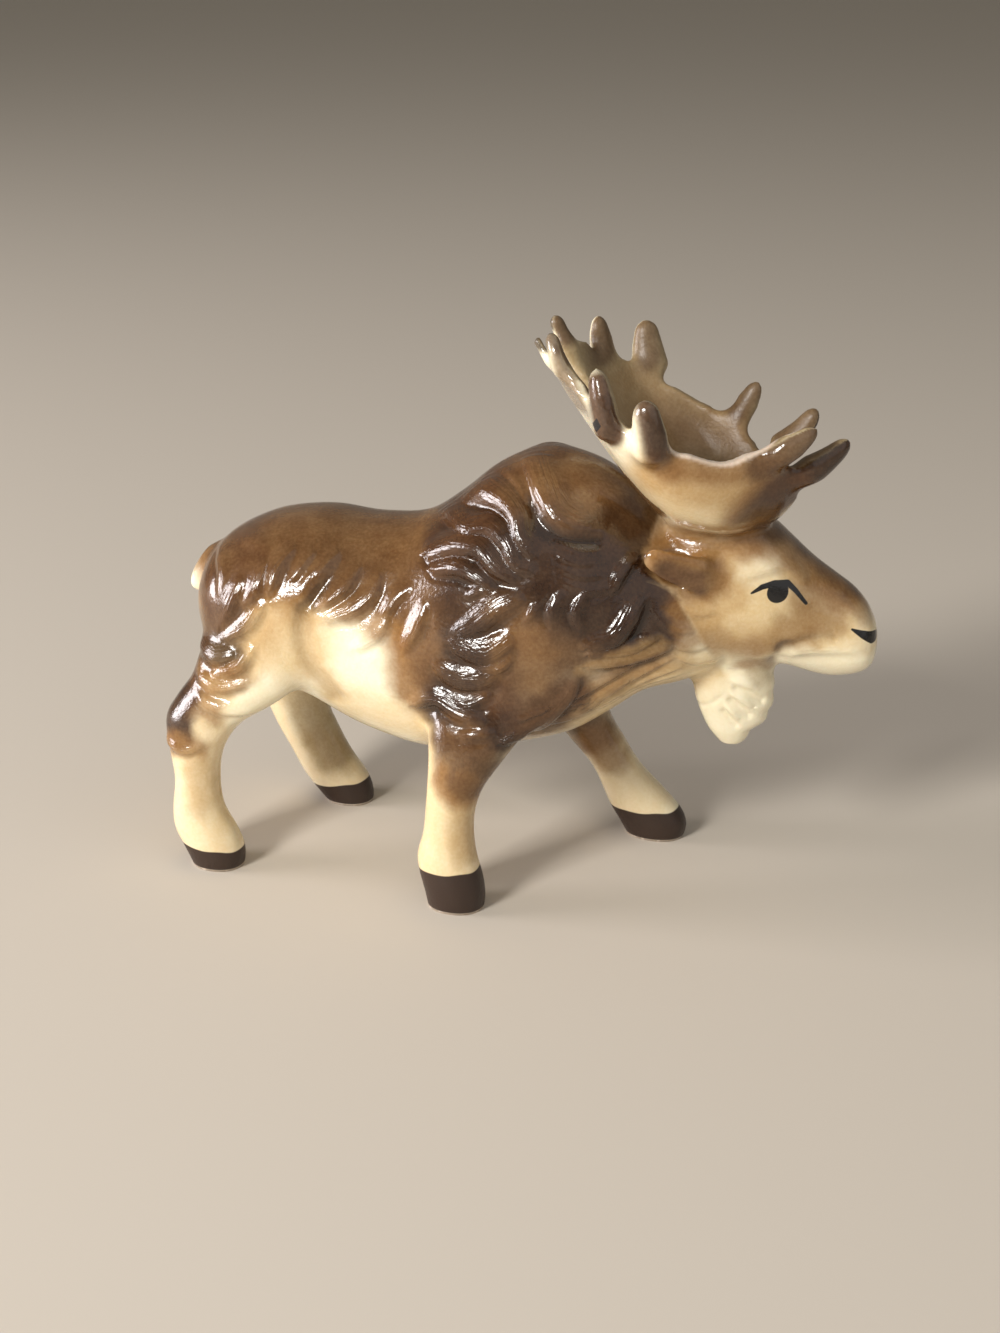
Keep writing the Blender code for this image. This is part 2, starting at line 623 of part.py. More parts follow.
def carved(points, normals, patches):
    """Raise the locks of hair out of both flanks."""
    rise = np.zeros(len(points))
    flank = np.clip((np.abs(normals[:, 1]) - FLANK_FROM) / (FLANK_FULL - FLANK_FROM), 0.0, 1.0)
    for locks in patches:
        for path, steps in lock_paths(locks):
            low, high = path.min(axis=0) - locks.width, path.max(axis=0) + locks.width
            near = np.flatnonzero((points[:, 0] > low[0]) & (points[:, 0] < high[0])
                                  & (points[:, 2] > low[1]) & (points[:, 2] < high[1])
                                  & (flank > 0.0))
            if not len(near):
                continue
            away = np.linalg.norm(points[near][:, None, (0, 2)] - path[None], axis=2)
            place = away.argmin(axis=1)
            along = LOCK_ROOT + (1.0 - LOCK_ROOT) * steps[place]
            taper = np.clip(np.sin(math.pi * along), 0.0, 1.0) ** LOCK_TAPER
            width = locks.width * (LOCK_LEAST_WIDTH + (1.0 - LOCK_LEAST_WIDTH) * taper)
            off = np.clip(away[np.arange(len(near)), place] / width, 0.0, 1.0)
            height = locks.rise * taper * (1.0 - off**2) ** 2 * flank[near]
            rise[near] = np.maximum(rise[near], height)
    return points + normals * rise[:, None]


def vertex_normals(mesh):
    """The mesh's point normals as an array."""
    normals = np.empty(len(mesh.vertices) * 3)
    mesh.vertex_normals.foreach_get("vector", normals)
    return normals.reshape(-1, 3)


def thinned(figure, most):
    """Collapse the skin to a set number of triangles."""
    triangles = sum(len(face.vertices) - 2 for face in figure.data.polygons)
    decimate = figure.modifiers.new("thin", "DECIMATE")
    decimate.decimate_type = "COLLAPSE"
    decimate.ratio = most / triangles
    decimate.use_collapse_triangulate = True
    apply_modifiers(figure)


def stand_on_ground(figure):
    """Cut the hooves off flat at the ground and centre the figure over it."""
    work = bmesh.new()
    work.from_mesh(figure.data)
    cut = bmesh.ops.bisect_plane(work, geom=work.verts[:] + work.edges[:] + work.faces[:],
                                 dist=1e-5, plane_co=(0, 0, 0), plane_no=(0, 0, 1), clear_inner=True)
    rims = [item for item in cut["geom_cut"] if isinstance(item, bmesh.types.BMEdge)]
    bmesh.ops.holes_fill(work, edges=rims)
    bmesh.ops.triangulate(work, faces=work.faces[:])
    bmesh.ops.recalc_face_normals(work, faces=work.faces[:])
    spots = np.array([v.co for v in work.verts])
    middle = (spots.min(axis=0) + spots.max(axis=0)) / 2.0
    bmesh.ops.transform(work, verts=work.verts[:], matrix=Matrix.Scale(PART, 4)
                        @ Matrix.Translation((-middle[0], -middle[1], 0.0)))
    work.to_mesh(figure.data)
    work.free()
    figure.data.shade_smooth()


def glaze():
    """The glazed bone china's material."""
    material = bpy.data.materials.new("glazed_bone_china")
    material.use_nodes = True
    shader = material.node_tree.nodes["Principled BSDF"]
    shader.inputs["Base Color"].default_value = GLAZE_COLOUR
    shader.inputs["Roughness"].default_value = GLAZE_ROUGHNESS
    shader.inputs["Metallic"].default_value = 0.0
    return material


def main():
    """Build the figurine."""
    for item in list(bpy.data.objects):
        bpy.data.objects.remove(item)
    forms = all_forms()
    figure = fused(forms)
    points, edges = read_points(figure.data)
    points = eased(points, edges, np.full(len(points), SKIN_EASE), SKIN_ROUNDS)
    weight = JOINT_EASE * junction_weight(points, forms)
    points = eased(points, edges, weight, JOINT_ROUNDS)
    write_points(figure.data, points)
    write_points(figure.data, carved(points, vertex_normals(figure.data), COAT))
    thinned(figure, MOST_TRIANGLES)
    stand_on_ground(figure)
    figure.data.materials.clear()
    figure.data.materials.append(glaze())
    for form, _ in forms:
        form.free()


main()
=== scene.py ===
"""Glazed bone china moose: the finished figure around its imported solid.

The figure is drawn in parts, one of them a millimetre on a figure 95 mm long.
It is lofted form by form, fused into one skin, carved, and then painted with
soft sprays of ceramic colour under a clear glaze.
"""

from __future__ import annotations

import logging
import math
from dataclasses import dataclass, field
from enum import Enum

import bmesh
import bpy
import numpy as np
from mathutils import Matrix, Vector
from mathutils.bvhtree import BVHTree

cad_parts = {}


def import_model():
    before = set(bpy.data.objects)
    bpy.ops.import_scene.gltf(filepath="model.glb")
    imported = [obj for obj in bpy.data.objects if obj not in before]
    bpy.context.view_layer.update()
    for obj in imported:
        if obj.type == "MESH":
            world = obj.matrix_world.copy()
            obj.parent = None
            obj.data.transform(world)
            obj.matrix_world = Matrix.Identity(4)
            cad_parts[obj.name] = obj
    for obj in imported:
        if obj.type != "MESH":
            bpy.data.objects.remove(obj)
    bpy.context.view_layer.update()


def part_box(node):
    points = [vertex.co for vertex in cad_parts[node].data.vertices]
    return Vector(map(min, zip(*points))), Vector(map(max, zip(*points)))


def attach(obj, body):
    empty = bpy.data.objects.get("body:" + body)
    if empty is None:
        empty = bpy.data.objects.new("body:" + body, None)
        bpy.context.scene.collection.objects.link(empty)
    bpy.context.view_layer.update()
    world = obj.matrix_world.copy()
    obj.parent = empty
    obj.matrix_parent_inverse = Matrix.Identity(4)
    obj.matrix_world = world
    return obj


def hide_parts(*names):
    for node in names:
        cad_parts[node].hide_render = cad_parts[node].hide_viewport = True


LOG = logging.getLogger("moose")

Pair = tuple[float, float]
Triple = tuple[float, float, float]
Forms = list[tuple[bpy.types.Object, float]]
Socket = bpy.types.NodeSocket

NODE = "moose_figurine"
BODY = "root"

# The form's own scale and pose, in parts and radians
FORM_LENGTH = 95.0
HEAD_TURN = math.radians(10.0)
HEAD_PIVOT_X = 34.0

# How finely the forms are fused, in parts, and how far the fused skin is thinned
VOXEL = 0.30
MOST_TRIANGLES = 165_000

# Fillets where two forms meet, as a reach in parts
LIMB_FILLET = 3.4
HEAD_FILLET = 3.0
ANTLER_FILLET = 2.3
SMALL_FILLET = 1.2

# How the skin is eased: rounds over all of it, in its joints and after the carving, with their weights
EVEN_ROUNDS = 5
EVEN_WEIGHT = 0.35
JOINT_ROUNDS = 60
JOINT_WEIGHT = 0.85
CARVED_ROUNDS = 1
CARVED_WEIGHT = 0.25

# Cross-sections as rounded squares: the power of the cosine and sine, 1 for an ellipse
ACROSS_POWER = 0.92
UPRIGHT_POWER = 0.95

# A finger closes over these shares of its length, down to this share of its radius squared
ROOT_CLOSING = 0.30
TIP_CLOSING = 0.18
LEAST_ROUND = 0.02
FLAT_TINE = 0.80

# A row of like strands: how the sway turns from one to the next, and how much it changes them
SWAY_TURN = 2.1
SWAY_SIZE = 0.12
SWAY_RISE = 0.15

# Distances on the skin are kept up to this many parts
FAR = 5.0

# What is laid over the sprays, as linear red, green and blue
HOOF_COLOUR = (0.034, 0.018, 0.011)
BARE_CHINA = (0.50, 0.42, 0.34)
# Ink for the eyes, lashes and nostrils, also used for the painted shade of the uncarved pit in the near
# antler
INK_COLOUR = (0.007, 0.006, 0.006)


class Paint(Enum):
    """The potter's colours, as linear red, green and blue."""

    IVORY = (0.88, 0.80, 0.58)
    CREAM = (0.70, 0.52, 0.27)
    TAN = (0.45, 0.275, 0.105)
    GOLDEN = (0.245, 0.117, 0.032)
    BROWN = (0.112, 0.053, 0.018)
    RUSSET = (0.072, 0.028, 0.0085)
    CHOCOLATE = (0.034, 0.0145, 0.0060)
    OLIVE = (0.28, 0.185, 0.072)
    BLUSH = (0.76, 0.62, 0.50)


class Zone(Enum):
    """The stretches of the figure that are sprayed apart from each other."""

    BODY = "body"
    HEAD = "head"
    ANTLER_OUTSIDE = "antler outside"
    ANTLER_INSIDE = "antler inside"


@dataclass(frozen=True)
class Slice:
    """One cross-section of a lying form, such as the trunk or the head."""

    at: float
    top: float
    bottom: float
    half: float
    waist: float
    crown: float


@dataclass(frozen=True)
class LegSlice:
    """One level cross-section of a leg or of the bell."""

    height: float
    rear: float
    front: float
    side: float
    half: float


@dataclass(frozen=True)
class Lock:
    """A raised lock of hair, its course seen from the side."""

    path: tuple[Pair, ...]
    width: float
    rise: float
    head: bool = False


@dataclass(frozen=True)
class Spray:
    """One pass of the airbrush, its course seen from the side."""

    paint: Paint
    path: tuple[Pair, ...]
    reach: float
    soft: float
    strength: float
    zone: Zone = Zone.BODY
    side: int = 0


@dataclass(frozen=True)
class Stroke:
    """A brush stroke of ink on the face, with its half width at each point."""

    path: tuple[Pair, ...]
    widths: tuple[float, ...]


@dataclass(frozen=True)
class HoofBorder:
    """Where a hoof's paint ends: its height at the rear and at the front of one hoof."""

    rear: float
    front: float
    side: int
    rear_height: float
    front_height: float


@dataclass(frozen=True)
class Wave:
    """A wave through the figure, with its slope along each axis."""

    height: float
    slopes: Triple
    start: float = 0.0

    def at(self, points: np.ndarray) -> np.ndarray:
        """The wave's height at each point."""
        return self.height * np.sin(points @ np.array(self.slopes) + self.start)


def read_rows(items: bpy.types.bpy_prop_collection, name: str) -> np.ndarray:
    """Three numbers of each item, as rows."""
    rows = np.empty(len(items) * 3)
    items.foreach_get(name, rows)
    return rows.reshape(-1, 3)


def smooth_columns(table: object, count: int) -> np.ndarray:
    """Read a table's rows at even steps along a smooth curve through them.

    Args:
        table: Rows of numbers.
        count: How many rows to return.

    Returns:
        The rows on the curve.
    """
    table = np.asarray(table, float)
    knots = np.concatenate([[0.0], np.cumsum(np.linalg.norm(np.diff(table, axis=0), axis=1))])
    slopes = np.gradient(table, knots, axis=0)
    places = np.linspace(0.0, knots[-1], count)
    cell = np.clip(np.searchsorted(knots, places, side="right") - 1, 0, len(knots) - 2)
    span = (knots[cell + 1] - knots[cell])[:, None]
    t = ((places - knots[cell])[:, None]) / span
    return ((2 * t**3 - 3 * t**2 + 1) * table[cell] + (t**3 - 2 * t**2 + t) * span * slopes[cell]
            + (3 * t**2 - 2 * t**3) * table[cell + 1] + (t**3 - t**2) * span * slopes[cell + 1])


def power(value: np.ndarray, exponent: object) -> np.ndarray:
    """Raise to a power and keep the sign."""
    return np.sign(value) * np.abs(value) ** exponent


def ramp(value: object, low: float, high: float) -> np.ndarray:
    """Ease from 0 at low to 1 at high."""
    t = np.clip((np.asarray(value, float) - low) / (high - low), 0.0, 1.0)
    return t * t * (3.0 - 2.0 * t)


def stroke_distance(spots: np.ndarray, path: object, widths: object = None) -> np.ndarray:
    """Distance from each spot to a course of straight steps.

    Args:
        spots: The places, two numbers each.
        path: The points of the course.
        widths: The course's half width at each point, taken off the distance.

    Returns:
        The distances, below 0 inside the width.
    """
    path = np.asarray(path, float)
    widths = np.zeros(len(path)) if widths is None else np.asarray(widths, float)
    best = np.full(len(spots), 1e3)
    for k in range(len(path) - 1):
        span = path[k + 1] - path[k]
        t = np.clip((spots - path[k]) @ span / (span @ span), 0.0, 1.0)
        away = np.linalg.norm(spots - path[k] - t[:, None] * span, axis=1)
        best = np.minimum(best, away - widths[k] - t * (widths[k + 1] - widths[k]))
    return best


def head_frame(points: np.ndarray) -> np.ndarray:
    """Turn points of the figure's frame into the head's own frame."""
    cosine, sine = math.cos(HEAD_TURN), math.sin(HEAD_TURN)
    ahead, aside = points[:, 0] - HEAD_PIVOT_X, points[:, 1]
    return np.column_stack([cosine * ahead + sine * aside, -sine * ahead + cosine * aside, points[:, 2]])


def activate(piece: bpy.types.Object) -> None:
    """Select one object alone and make it active."""
    bpy.ops.object.select_all(action="DESELECT")
    piece.select_set(True)
    bpy.context.view_layer.objects.active = piece


def ring_skin(name: str, rings: list[np.ndarray]) -> bpy.types.Object:
    """Bridge circle after circle into one closed skin.

    Args:
        name: The object's name.
        rings: The points of each ring, in order.

    Returns:
        The closed form.
    """
    sides = len(rings[0])
    bpy.ops.object.select_all(action="DESELECT")
    bpy.ops.mesh.primitive_circle_add(vertices=sides, radius=1.0)
    piece = bpy.context.active_object
    piece.name = name
    bpy.ops.object.mode_set(mode="EDIT")
    for index, ring in enumerate(rings):
        if index:
            bpy.ops.mesh.select_all(action="DESELECT")
            bpy.ops.mesh.primitive_circle_add(vertices=sides, radius=1.0)
        work = bmesh.from_edit_mesh(piece.data)
        work.verts.ensure_lookup_table()
        newest = work.verts[-sides:]
        for vert, point in zip(newest, ring):
            vert.co = point
        if index:
            for vert in work.verts[-2 * sides:]:
                vert.select = True
            work.select_flush(True)
            bmesh.update_edit_mesh(piece.data)
            bpy.ops.mesh.bridge_edge_loops(type="SINGLE", use_merge=False)
    bpy.ops.mesh.select_all(action="SELECT")
    bpy.ops.mesh.fill_holes(sides=0)
    bpy.ops.mesh.quads_convert_to_tris()
    bpy.ops.mesh.normals_make_consistent(inside=False)
    bpy.ops.object.mode_set(mode="OBJECT")
    return piece


def lying_rings(slices: tuple[Slice, ...], rings: int, sides: int) -> list[np.ndarray]:
    """Rings of a form whose cross-sections stand across the figure.

    Args:
        slices: The form's named cross-sections.
        rings: How many rings to make.
        sides: Points to a ring.

    Returns:
        One array of points for each ring.
    """
    table = smooth_columns([(s.at, s.top, s.bottom, s.half, s.waist, s.crown) for s in slices], rings)
    angle = np.linspace(0.0, 2.0 * math.pi, sides, endpoint=False)
    cosine, sine = np.cos(angle), np.sin(angle)
    outline = []
    for at, top, bottom, half, waist, crown in table:
        middle = bottom + waist * (top - bottom)
        pinch = np.where(sine > 0.0, crown, 1.0)
        across = half * power(cosine, ACROSS_POWER * pinch)
        reach = np.where(sine > 0.0, top - middle, middle - bottom)
        height = middle + reach * power(sine, UPRIGHT_POWER)
        outline.append(np.column_stack([np.full(sides, at), across, height]))
    return outline


def standing_rings(slices: tuple[LegSlice, ...], rings: int = 34, sides: int = 28) -> list[np.ndarray]:
    """Rings of a leg or a bell, whose cross-sections are level."""
    table = smooth_columns([(s.height, s.rear, s.front, s.side, s.half) for s in slices], rings)
    angle = np.linspace(0.0, 2.0 * math.pi, sides, endpoint=False)
    outline = []
    for height, rear, front, side, half in table:
        reach = (front - rear) / 2.0
        outline.append(np.column_stack([
            (front + rear) / 2.0 + reach * power(np.cos(angle), ACROSS_POWER),
            side + half * power(np.sin(angle), ACROSS_POWER), np.full(sides, height)]))
    return outline


@dataclass(frozen=True)
class Tine:
    """A finger of an antler, or any other bowed and tapered finger."""

    root: Triple
    tip: Triple
    bow: Triple
    thick: float
    fine: float
    flat: float = 1.0
    across: Triple | None = None
    rings: int = 18
    sides: int = 20

    def outline(self) -> list[np.ndarray]:
        """Rings from the root to the round tip."""
        root, tip, bow = (np.array(value, float) for value in (self.root, self.tip, self.bow))
        middle = (root + tip) / 2.0 + bow
        turns = np.linspace(0.0, 2.0 * math.pi, self.sides, endpoint=False)
        outline = []
        for k in range(self.rings):
            t = k / (self.rings - 1)
            centre = (1 - t) ** 2 * root + 2 * t * (1 - t) * middle + t * t * tip
            ahead = 2 * (1 - t) * (middle - root) + 2 * t * (tip - middle)
            ahead /= np.linalg.norm(ahead)
            sideways = np.cross(ahead, (0.0, 0.0, 1.0)) if self.across is None else np.array(self.across)
            sideways = sideways - (sideways @ ahead) * ahead
            sideways /= np.linalg.norm(sideways)
            upward = np.cross(sideways, ahead)
            closing = max(1.0 - t / ROOT_CLOSING, 1.0 - (1.0 - t) / TIP_CLOSING, 0.0)
            roundness = math.sqrt(max(1.0 - closing**2, LEAST_ROUND))
            radius = (self.thick + (self.fine - self.thick) * t) * roundness
            outline.append(centre + radius * (np.outer(np.cos(turns) * self.flat, sideways)
                                              + np.outer(np.sin(turns), upward)))
        return outline

    def mirrored(self, side: int) -> Tine:
        """The same finger on one side of the figure."""
        flip = np.array((1, side, 1))
        root, tip, bow = (tuple(np.array(value) * flip) for value in (self.root, self.tip, self.bow))
        return Tine(root, tip, bow, self.thick, self.fine, self.flat)

    def on_palm(self, across: np.ndarray) -> Tine:
        """The same finger, flattened like the palm it grows from."""
        return Tine(self.root, self.tip, self.bow, self.thick, self.fine, FLAT_TINE, tuple(across))

    def build(self, name: str) -> bpy.types.Object:
        """Model the finger."""
        return ring_skin(name, self.outline())


def turn_with_head(piece: bpy.types.Object) -> bpy.types.Object:
    """Set a form from the head's own frame into the figure's."""
    piece.data.transform(Matrix.Translation((HEAD_PIVOT_X, 0.0, 0.0)) @ Matrix.Rotation(HEAD_TURN, 4, "Z"))
    return piece


@dataclass
class Trunk:
    """The body from the rump to the neck, and the tail on it."""

    slices: tuple[Slice, ...] = (
        Slice(-31.3, 39.4, 32.0, 4.6, 0.50, 1.0),
        Slice(-29.9, 42.0, 29.5, 8.4, 0.50, 1.0),
        Slice(-27.0, 44.9, 26.0, 11.8, 0.50, 1.0),
        Slice(-22.0, 47.4, 24.6, 13.4, 0.50, 1.0),
        Slice(-15.0, 48.8, 22.8, 13.8, 0.48, 1.0),
        Slice(-7.0, 48.6, 19.2, 13.8, 0.45, 1.0),
        Slice(0.0, 49.7, 17.4, 14.2, 0.44, 1.02),
        Slice(5.0, 53.2, 17.2, 15.0, 0.44, 1.08),
        Slice(10.0, 57.5, 18.2, 15.6, 0.42, 1.12),
        Slice(16.5, 60.3, 20.0, 15.6, 0.40, 1.15),
        Slice(22.0, 59.4, 22.0, 14.6, 0.42, 1.12),
        Slice(27.0, 56.8, 25.4, 12.6, 0.44, 1.05),
        Slice(31.5, 53.2, 28.8, 10.6, 0.46, 1.0),
        Slice(36.0, 50.5, 30.4, 9.0, 0.48, 1.0),
        Slice(40.5, 48.0, 32.5, 6.6, 0.50, 1.0),
    )
    tail: Tine = Tine((-28.2, 0.0, 42.0), (-33.08, 0.0, 34.4), (-1.9, 0.0, 0.9), 2.3, 1.7)
    rings: int = 56
    sides: int = 56

    def build(self) -> Forms:
        """Model the trunk and the tail.

        Returns:
            Each form with the reach of its fillet.
        """
        trunk = ring_skin("trunk", lying_rings(self.slices, self.rings, self.sides))
        return [(trunk, LIMB_FILLET), (self.tail.build("tail"), SMALL_FILLET)]


@dataclass
class Legs:
    """The four legs in their stride, each drawn down into the ground."""

    near_fore: tuple[LegSlice, ...] = (
        LegSlice(34.0, 4.0, 25.0, -9.5, 5.4),
        LegSlice(29.0, 3.4, 22.5, -10.6, 5.2),
        LegSlice(24.6, 4.2, 17.6, -12.4, 4.6),
        LegSlice(20.0, 4.9, 14.3, -14.0, 3.9),
        LegSlice(17.0, 5.0, 12.5, -14.8, 3.5),
        LegSlice(14.0, 4.9, 11.6, -15.1, 3.2),
        LegSlice(10.0, 4.6, 11.5, -15.2, 3.1),
        LegSlice(6.8, 3.9, 12.1, -15.4, 3.4),
        LegSlice(4.6, 4.3, 12.8, -15.5, 3.6),
        LegSlice(2.0, 5.1, 13.3, -15.6, 3.6),
        LegSlice(-1.6, 5.9, 13.0, -15.6, 3.4),
    )
    near_hind: tuple[LegSlice, ...] = (
        LegSlice(36.0, -27.5, -10.0, -8.4, 5.4),
        LegSlice(31.0, -29.0, -11.0, -9.2, 5.3),
        LegSlice(27.0, -29.9, -14.0, -10.2, 4.9),
        LegSlice(24.0, -31.8, -17.8, -11.2, 4.3),
        LegSlice(20.5, -33.3, -22.8, -12.2, 3.7),
        LegSlice(17.0, -32.8, -25.0, -12.7, 3.2),
        LegSlice(12.0, -31.9, -25.6, -13.1, 2.9),
        LegSlice(8.0, -32.2, -24.9, -13.4, 3.1),
        LegSlice(5.0, -31.9, -23.0, -13.6, 3.4),
        LegSlice(2.6, -30.6, -22.0, -13.7, 3.4),
        LegSlice(-1.6, -28.4, -22.4, -13.7, 3.2),
    )
    far_hind: tuple[LegSlice, ...] = (
        LegSlice(36.0, -26.5, -9.0, 8.4, 5.4),
        LegSlice(31.0, -27.2, -10.0, 9.2, 5.3),
        LegSlice(27.0, -28.2, -12.5, 10.0, 4.9),
        LegSlice(23.0, -29.4, -15.6, 10.8, 4.3),
        LegSlice(19.0, -29.2, -18.0, 11.2, 3.7),
        LegSlice(15.0, -27.9, -18.4, 11.4, 3.2),
        LegSlice(11.0, -26.2, -16.8, 11.6, 3.0),
        LegSlice(7.0, -23.9, -14.7, 11.8, 3.2),
        LegSlice(4.0, -22.3, -12.6, 12.0, 3.4),
        LegSlice(1.6, -20.3, -11.7, 12.0, 3.3),
        LegSlice(-1.6, -17.0, -12.0, 12.0, 3.1),
    )
    far_fore: tuple[LegSlice, ...] = (
        LegSlice(34.0, 6.0, 26.0, 9.5, 5.4),
        LegSlice(29.0, 7.6, 25.6, 10.6, 5.2),
        LegSlice(24.0, 10.6, 24.4, 12.0, 4.6),
        LegSlice(19.0, 14.0, 23.4, 13.0, 3.9),
        LegSlice(14.0, 17.8, 25.9, 13.7, 3.4),
        LegSlice(10.4, 21.0, 28.2, 14.0, 3.2),
        LegSlice(6.5, 23.0, 32.1, 14.2, 3.5),
        LegSlice(4.0, 24.1, 34.4, 14.4, 3.7),
        LegSlice(2.0, 25.4, 35.4, 14.4, 3.6),
        LegSlice(-1.6, 27.6, 34.4, 14.4, 3.2),
    )

    def build(self) -> Forms:
        """Model the four legs.

        Returns:
            Each leg with the reach of its fillet.
        """
        legs = (self.near_fore, self.near_hind, self.far_hind, self.far_fore)
        return [(ring_skin("leg", standing_rings(leg)), LIMB_FILLET) for leg in legs]


@dataclass
class Head:
    """The head, its ears and the bell of hair, in the head's own frame."""

    slices: tuple[Slice, ...] = (
        Slice(-3.5, 50.2, 36.0, 6.0, 0.50, 1.0),
        Slice(0.0, 53.0, 34.0, 7.8, 0.52, 1.0),
        Slice(5.0, 54.6, 33.2, 8.4, 0.52, 1.0),
        Slice(9.0, 54.6, 33.0, 8.3, 0.54, 1.0),
        Slice(12.3, 52.7, 33.0, 7.8, 0.54, 1.0),
        Slice(15.0, 50.4, 33.2, 7.0, 0.54, 1.0),
        Slice(18.0, 47.8, 32.4, 6.0, 0.52, 1.0),
        Slice(21.0, 45.7, 31.9, 5.4, 0.48, 1.0),
        Slice(23.5, 43.9, 32.2, 5.2, 0.46, 1.0),
        Slice(25.3, 41.9, 32.8, 4.6, 0.46, 1.0),
        Slice(26.4, 39.8, 33.8, 3.4, 0.48, 1.0),
    )
    rings: int = 44
    sides: int = 44
    nose: float = 26.9
    nose_shares: tuple[float, ...] = (0.8, 0.55, 0.3, 0.1)
    bell: tuple[LegSlice, ...] = (
        LegSlice(34.5, 4.2, 13.4, 0.0, 4.2),
        LegSlice(31.0, 2.9, 13.9, 0.0, 3.9),
        LegSlice(28.0, 3.5, 14.0, 0.0, 3.4),
        LegSlice(25.4, 4.5, 13.4, 0.0, 2.8),
        LegSlice(23.0, 5.8, 11.3, 0.0, 2.2),
        LegSlice(21.2, 7.4, 10.0, 0.0, 1.4),
    )
    bell_top: float = 34.5
    bell_tip: float = 20.6
    scallops: int = 5
    scallop_depth: float = 0.8
    scallop_rest: float = 0.5
    ear: Tine = Tine((5.6, 7.4, 47.0), (-4.5, 10.2, 50.3), (0.2, 1.7, -1.0), 3.3, 1.5, 0.42)

    def skull(self) -> bpy.types.Object:
        """Model the head, closed by a small round nose."""
        outline = lying_rings(self.slices, self.rings, self.sides)
        last = outline[-1]
        centre = last.mean(axis=0)
        for share in self.nose_shares:
            ring = centre + (last - centre) * share
            ring[:, 0] = self.nose - (self.nose - last[0, 0]) * share**2
            outline.append(ring)
        return ring_skin("head", outline)

    def throat_bell(self) -> bpy.types.Object:
        """Model the bell, with a scalloped front edge."""
        outline = standing_rings(self.bell)
        for ring in outline:
            share = np.clip((self.bell_top - ring[0, 2]) / (self.bell_top - self.bell_tip), 0.0, 1.0)
            wave = abs(math.sin(math.pi * self.scallops * share)) - self.scallop_rest
            middle = ring[:, 0].mean()
            front = np.clip((ring[:, 0] - middle) / (ring[:, 0].max() - middle), 0.0, 1.0)
            ring[:, 0] += self.scallop_depth * share * wave * front
        return ring_skin("bell", outline)

    def build(self) -> Forms:
        """Model the head, the bell and the ears.

        Returns:
            Each form with the reach of its fillet.
        """
        forms = [(self.skull(), HEAD_FILLET), (self.throat_bell(), SMALL_FILLET)]
        forms += [(self.ear.mirrored(side).build("ear"), SMALL_FILLET) for side in (-1, 1)]
        return [(turn_with_head(piece), reach) for piece, reach in forms]


@dataclass
class Collar:
    """The cup that both antlers grow from, in the head's frame."""

    middle: float = 5.3
    length: float = 13.6
    width: float = 11.6
    low: float = 49.5
    foot: float = 53.0
    high: float = 57.2
    flare: float = 1.12
    dish: float = 1.9
    tilt: float = 0.10
    belt_low: float = 1.2
    belt_high: float = 1.4
    stem_scales: tuple[float, ...] = (0.80, 0.97, 1.02, 1.0)
    dish_levels: tuple[Pair, ...] = ((0.4, 0.8), (0.8, 0.5), (1.0, 0.2))
    steps: int = 16

    def point(self, share: float, side: int, height: float, scale: float = 1.0) -> np.ndarray:
        """A point on the collar, from its back at 0 to its front at 1."""
        turn = math.pi * share
        along = self.middle - scale * self.length / 2.0 * math.cos(turn)
        across = side * scale * self.width / 2.0 * math.sin(turn)
        return np.array([along, across, height + self.tilt * (along - self.middle)])

    def build(self) -> Forms:
        """Model the cup with its hollowed top."""
        stem = (self.low, self.foot - self.belt_low, self.foot, self.foot + self.belt_high)
        levels = [*zip(stem, self.stem_scales), (self.high, self.flare)]
        levels += [(self.high - depth * self.dish, scale) for depth, scale in self.dish_levels]
        outline = []
        for height, scale in levels:
            right = [self.point(k / self.steps, -1, height, scale) for k in range(self.steps + 1)]
            left = [self.point(k / self.steps, 1, height, scale) for k in range(self.steps - 1, 0, -1)]
            outline.append(np.array(right + left))
        return [(turn_with_head(ring_skin("collar", outline)), SMALL_FILLET)]


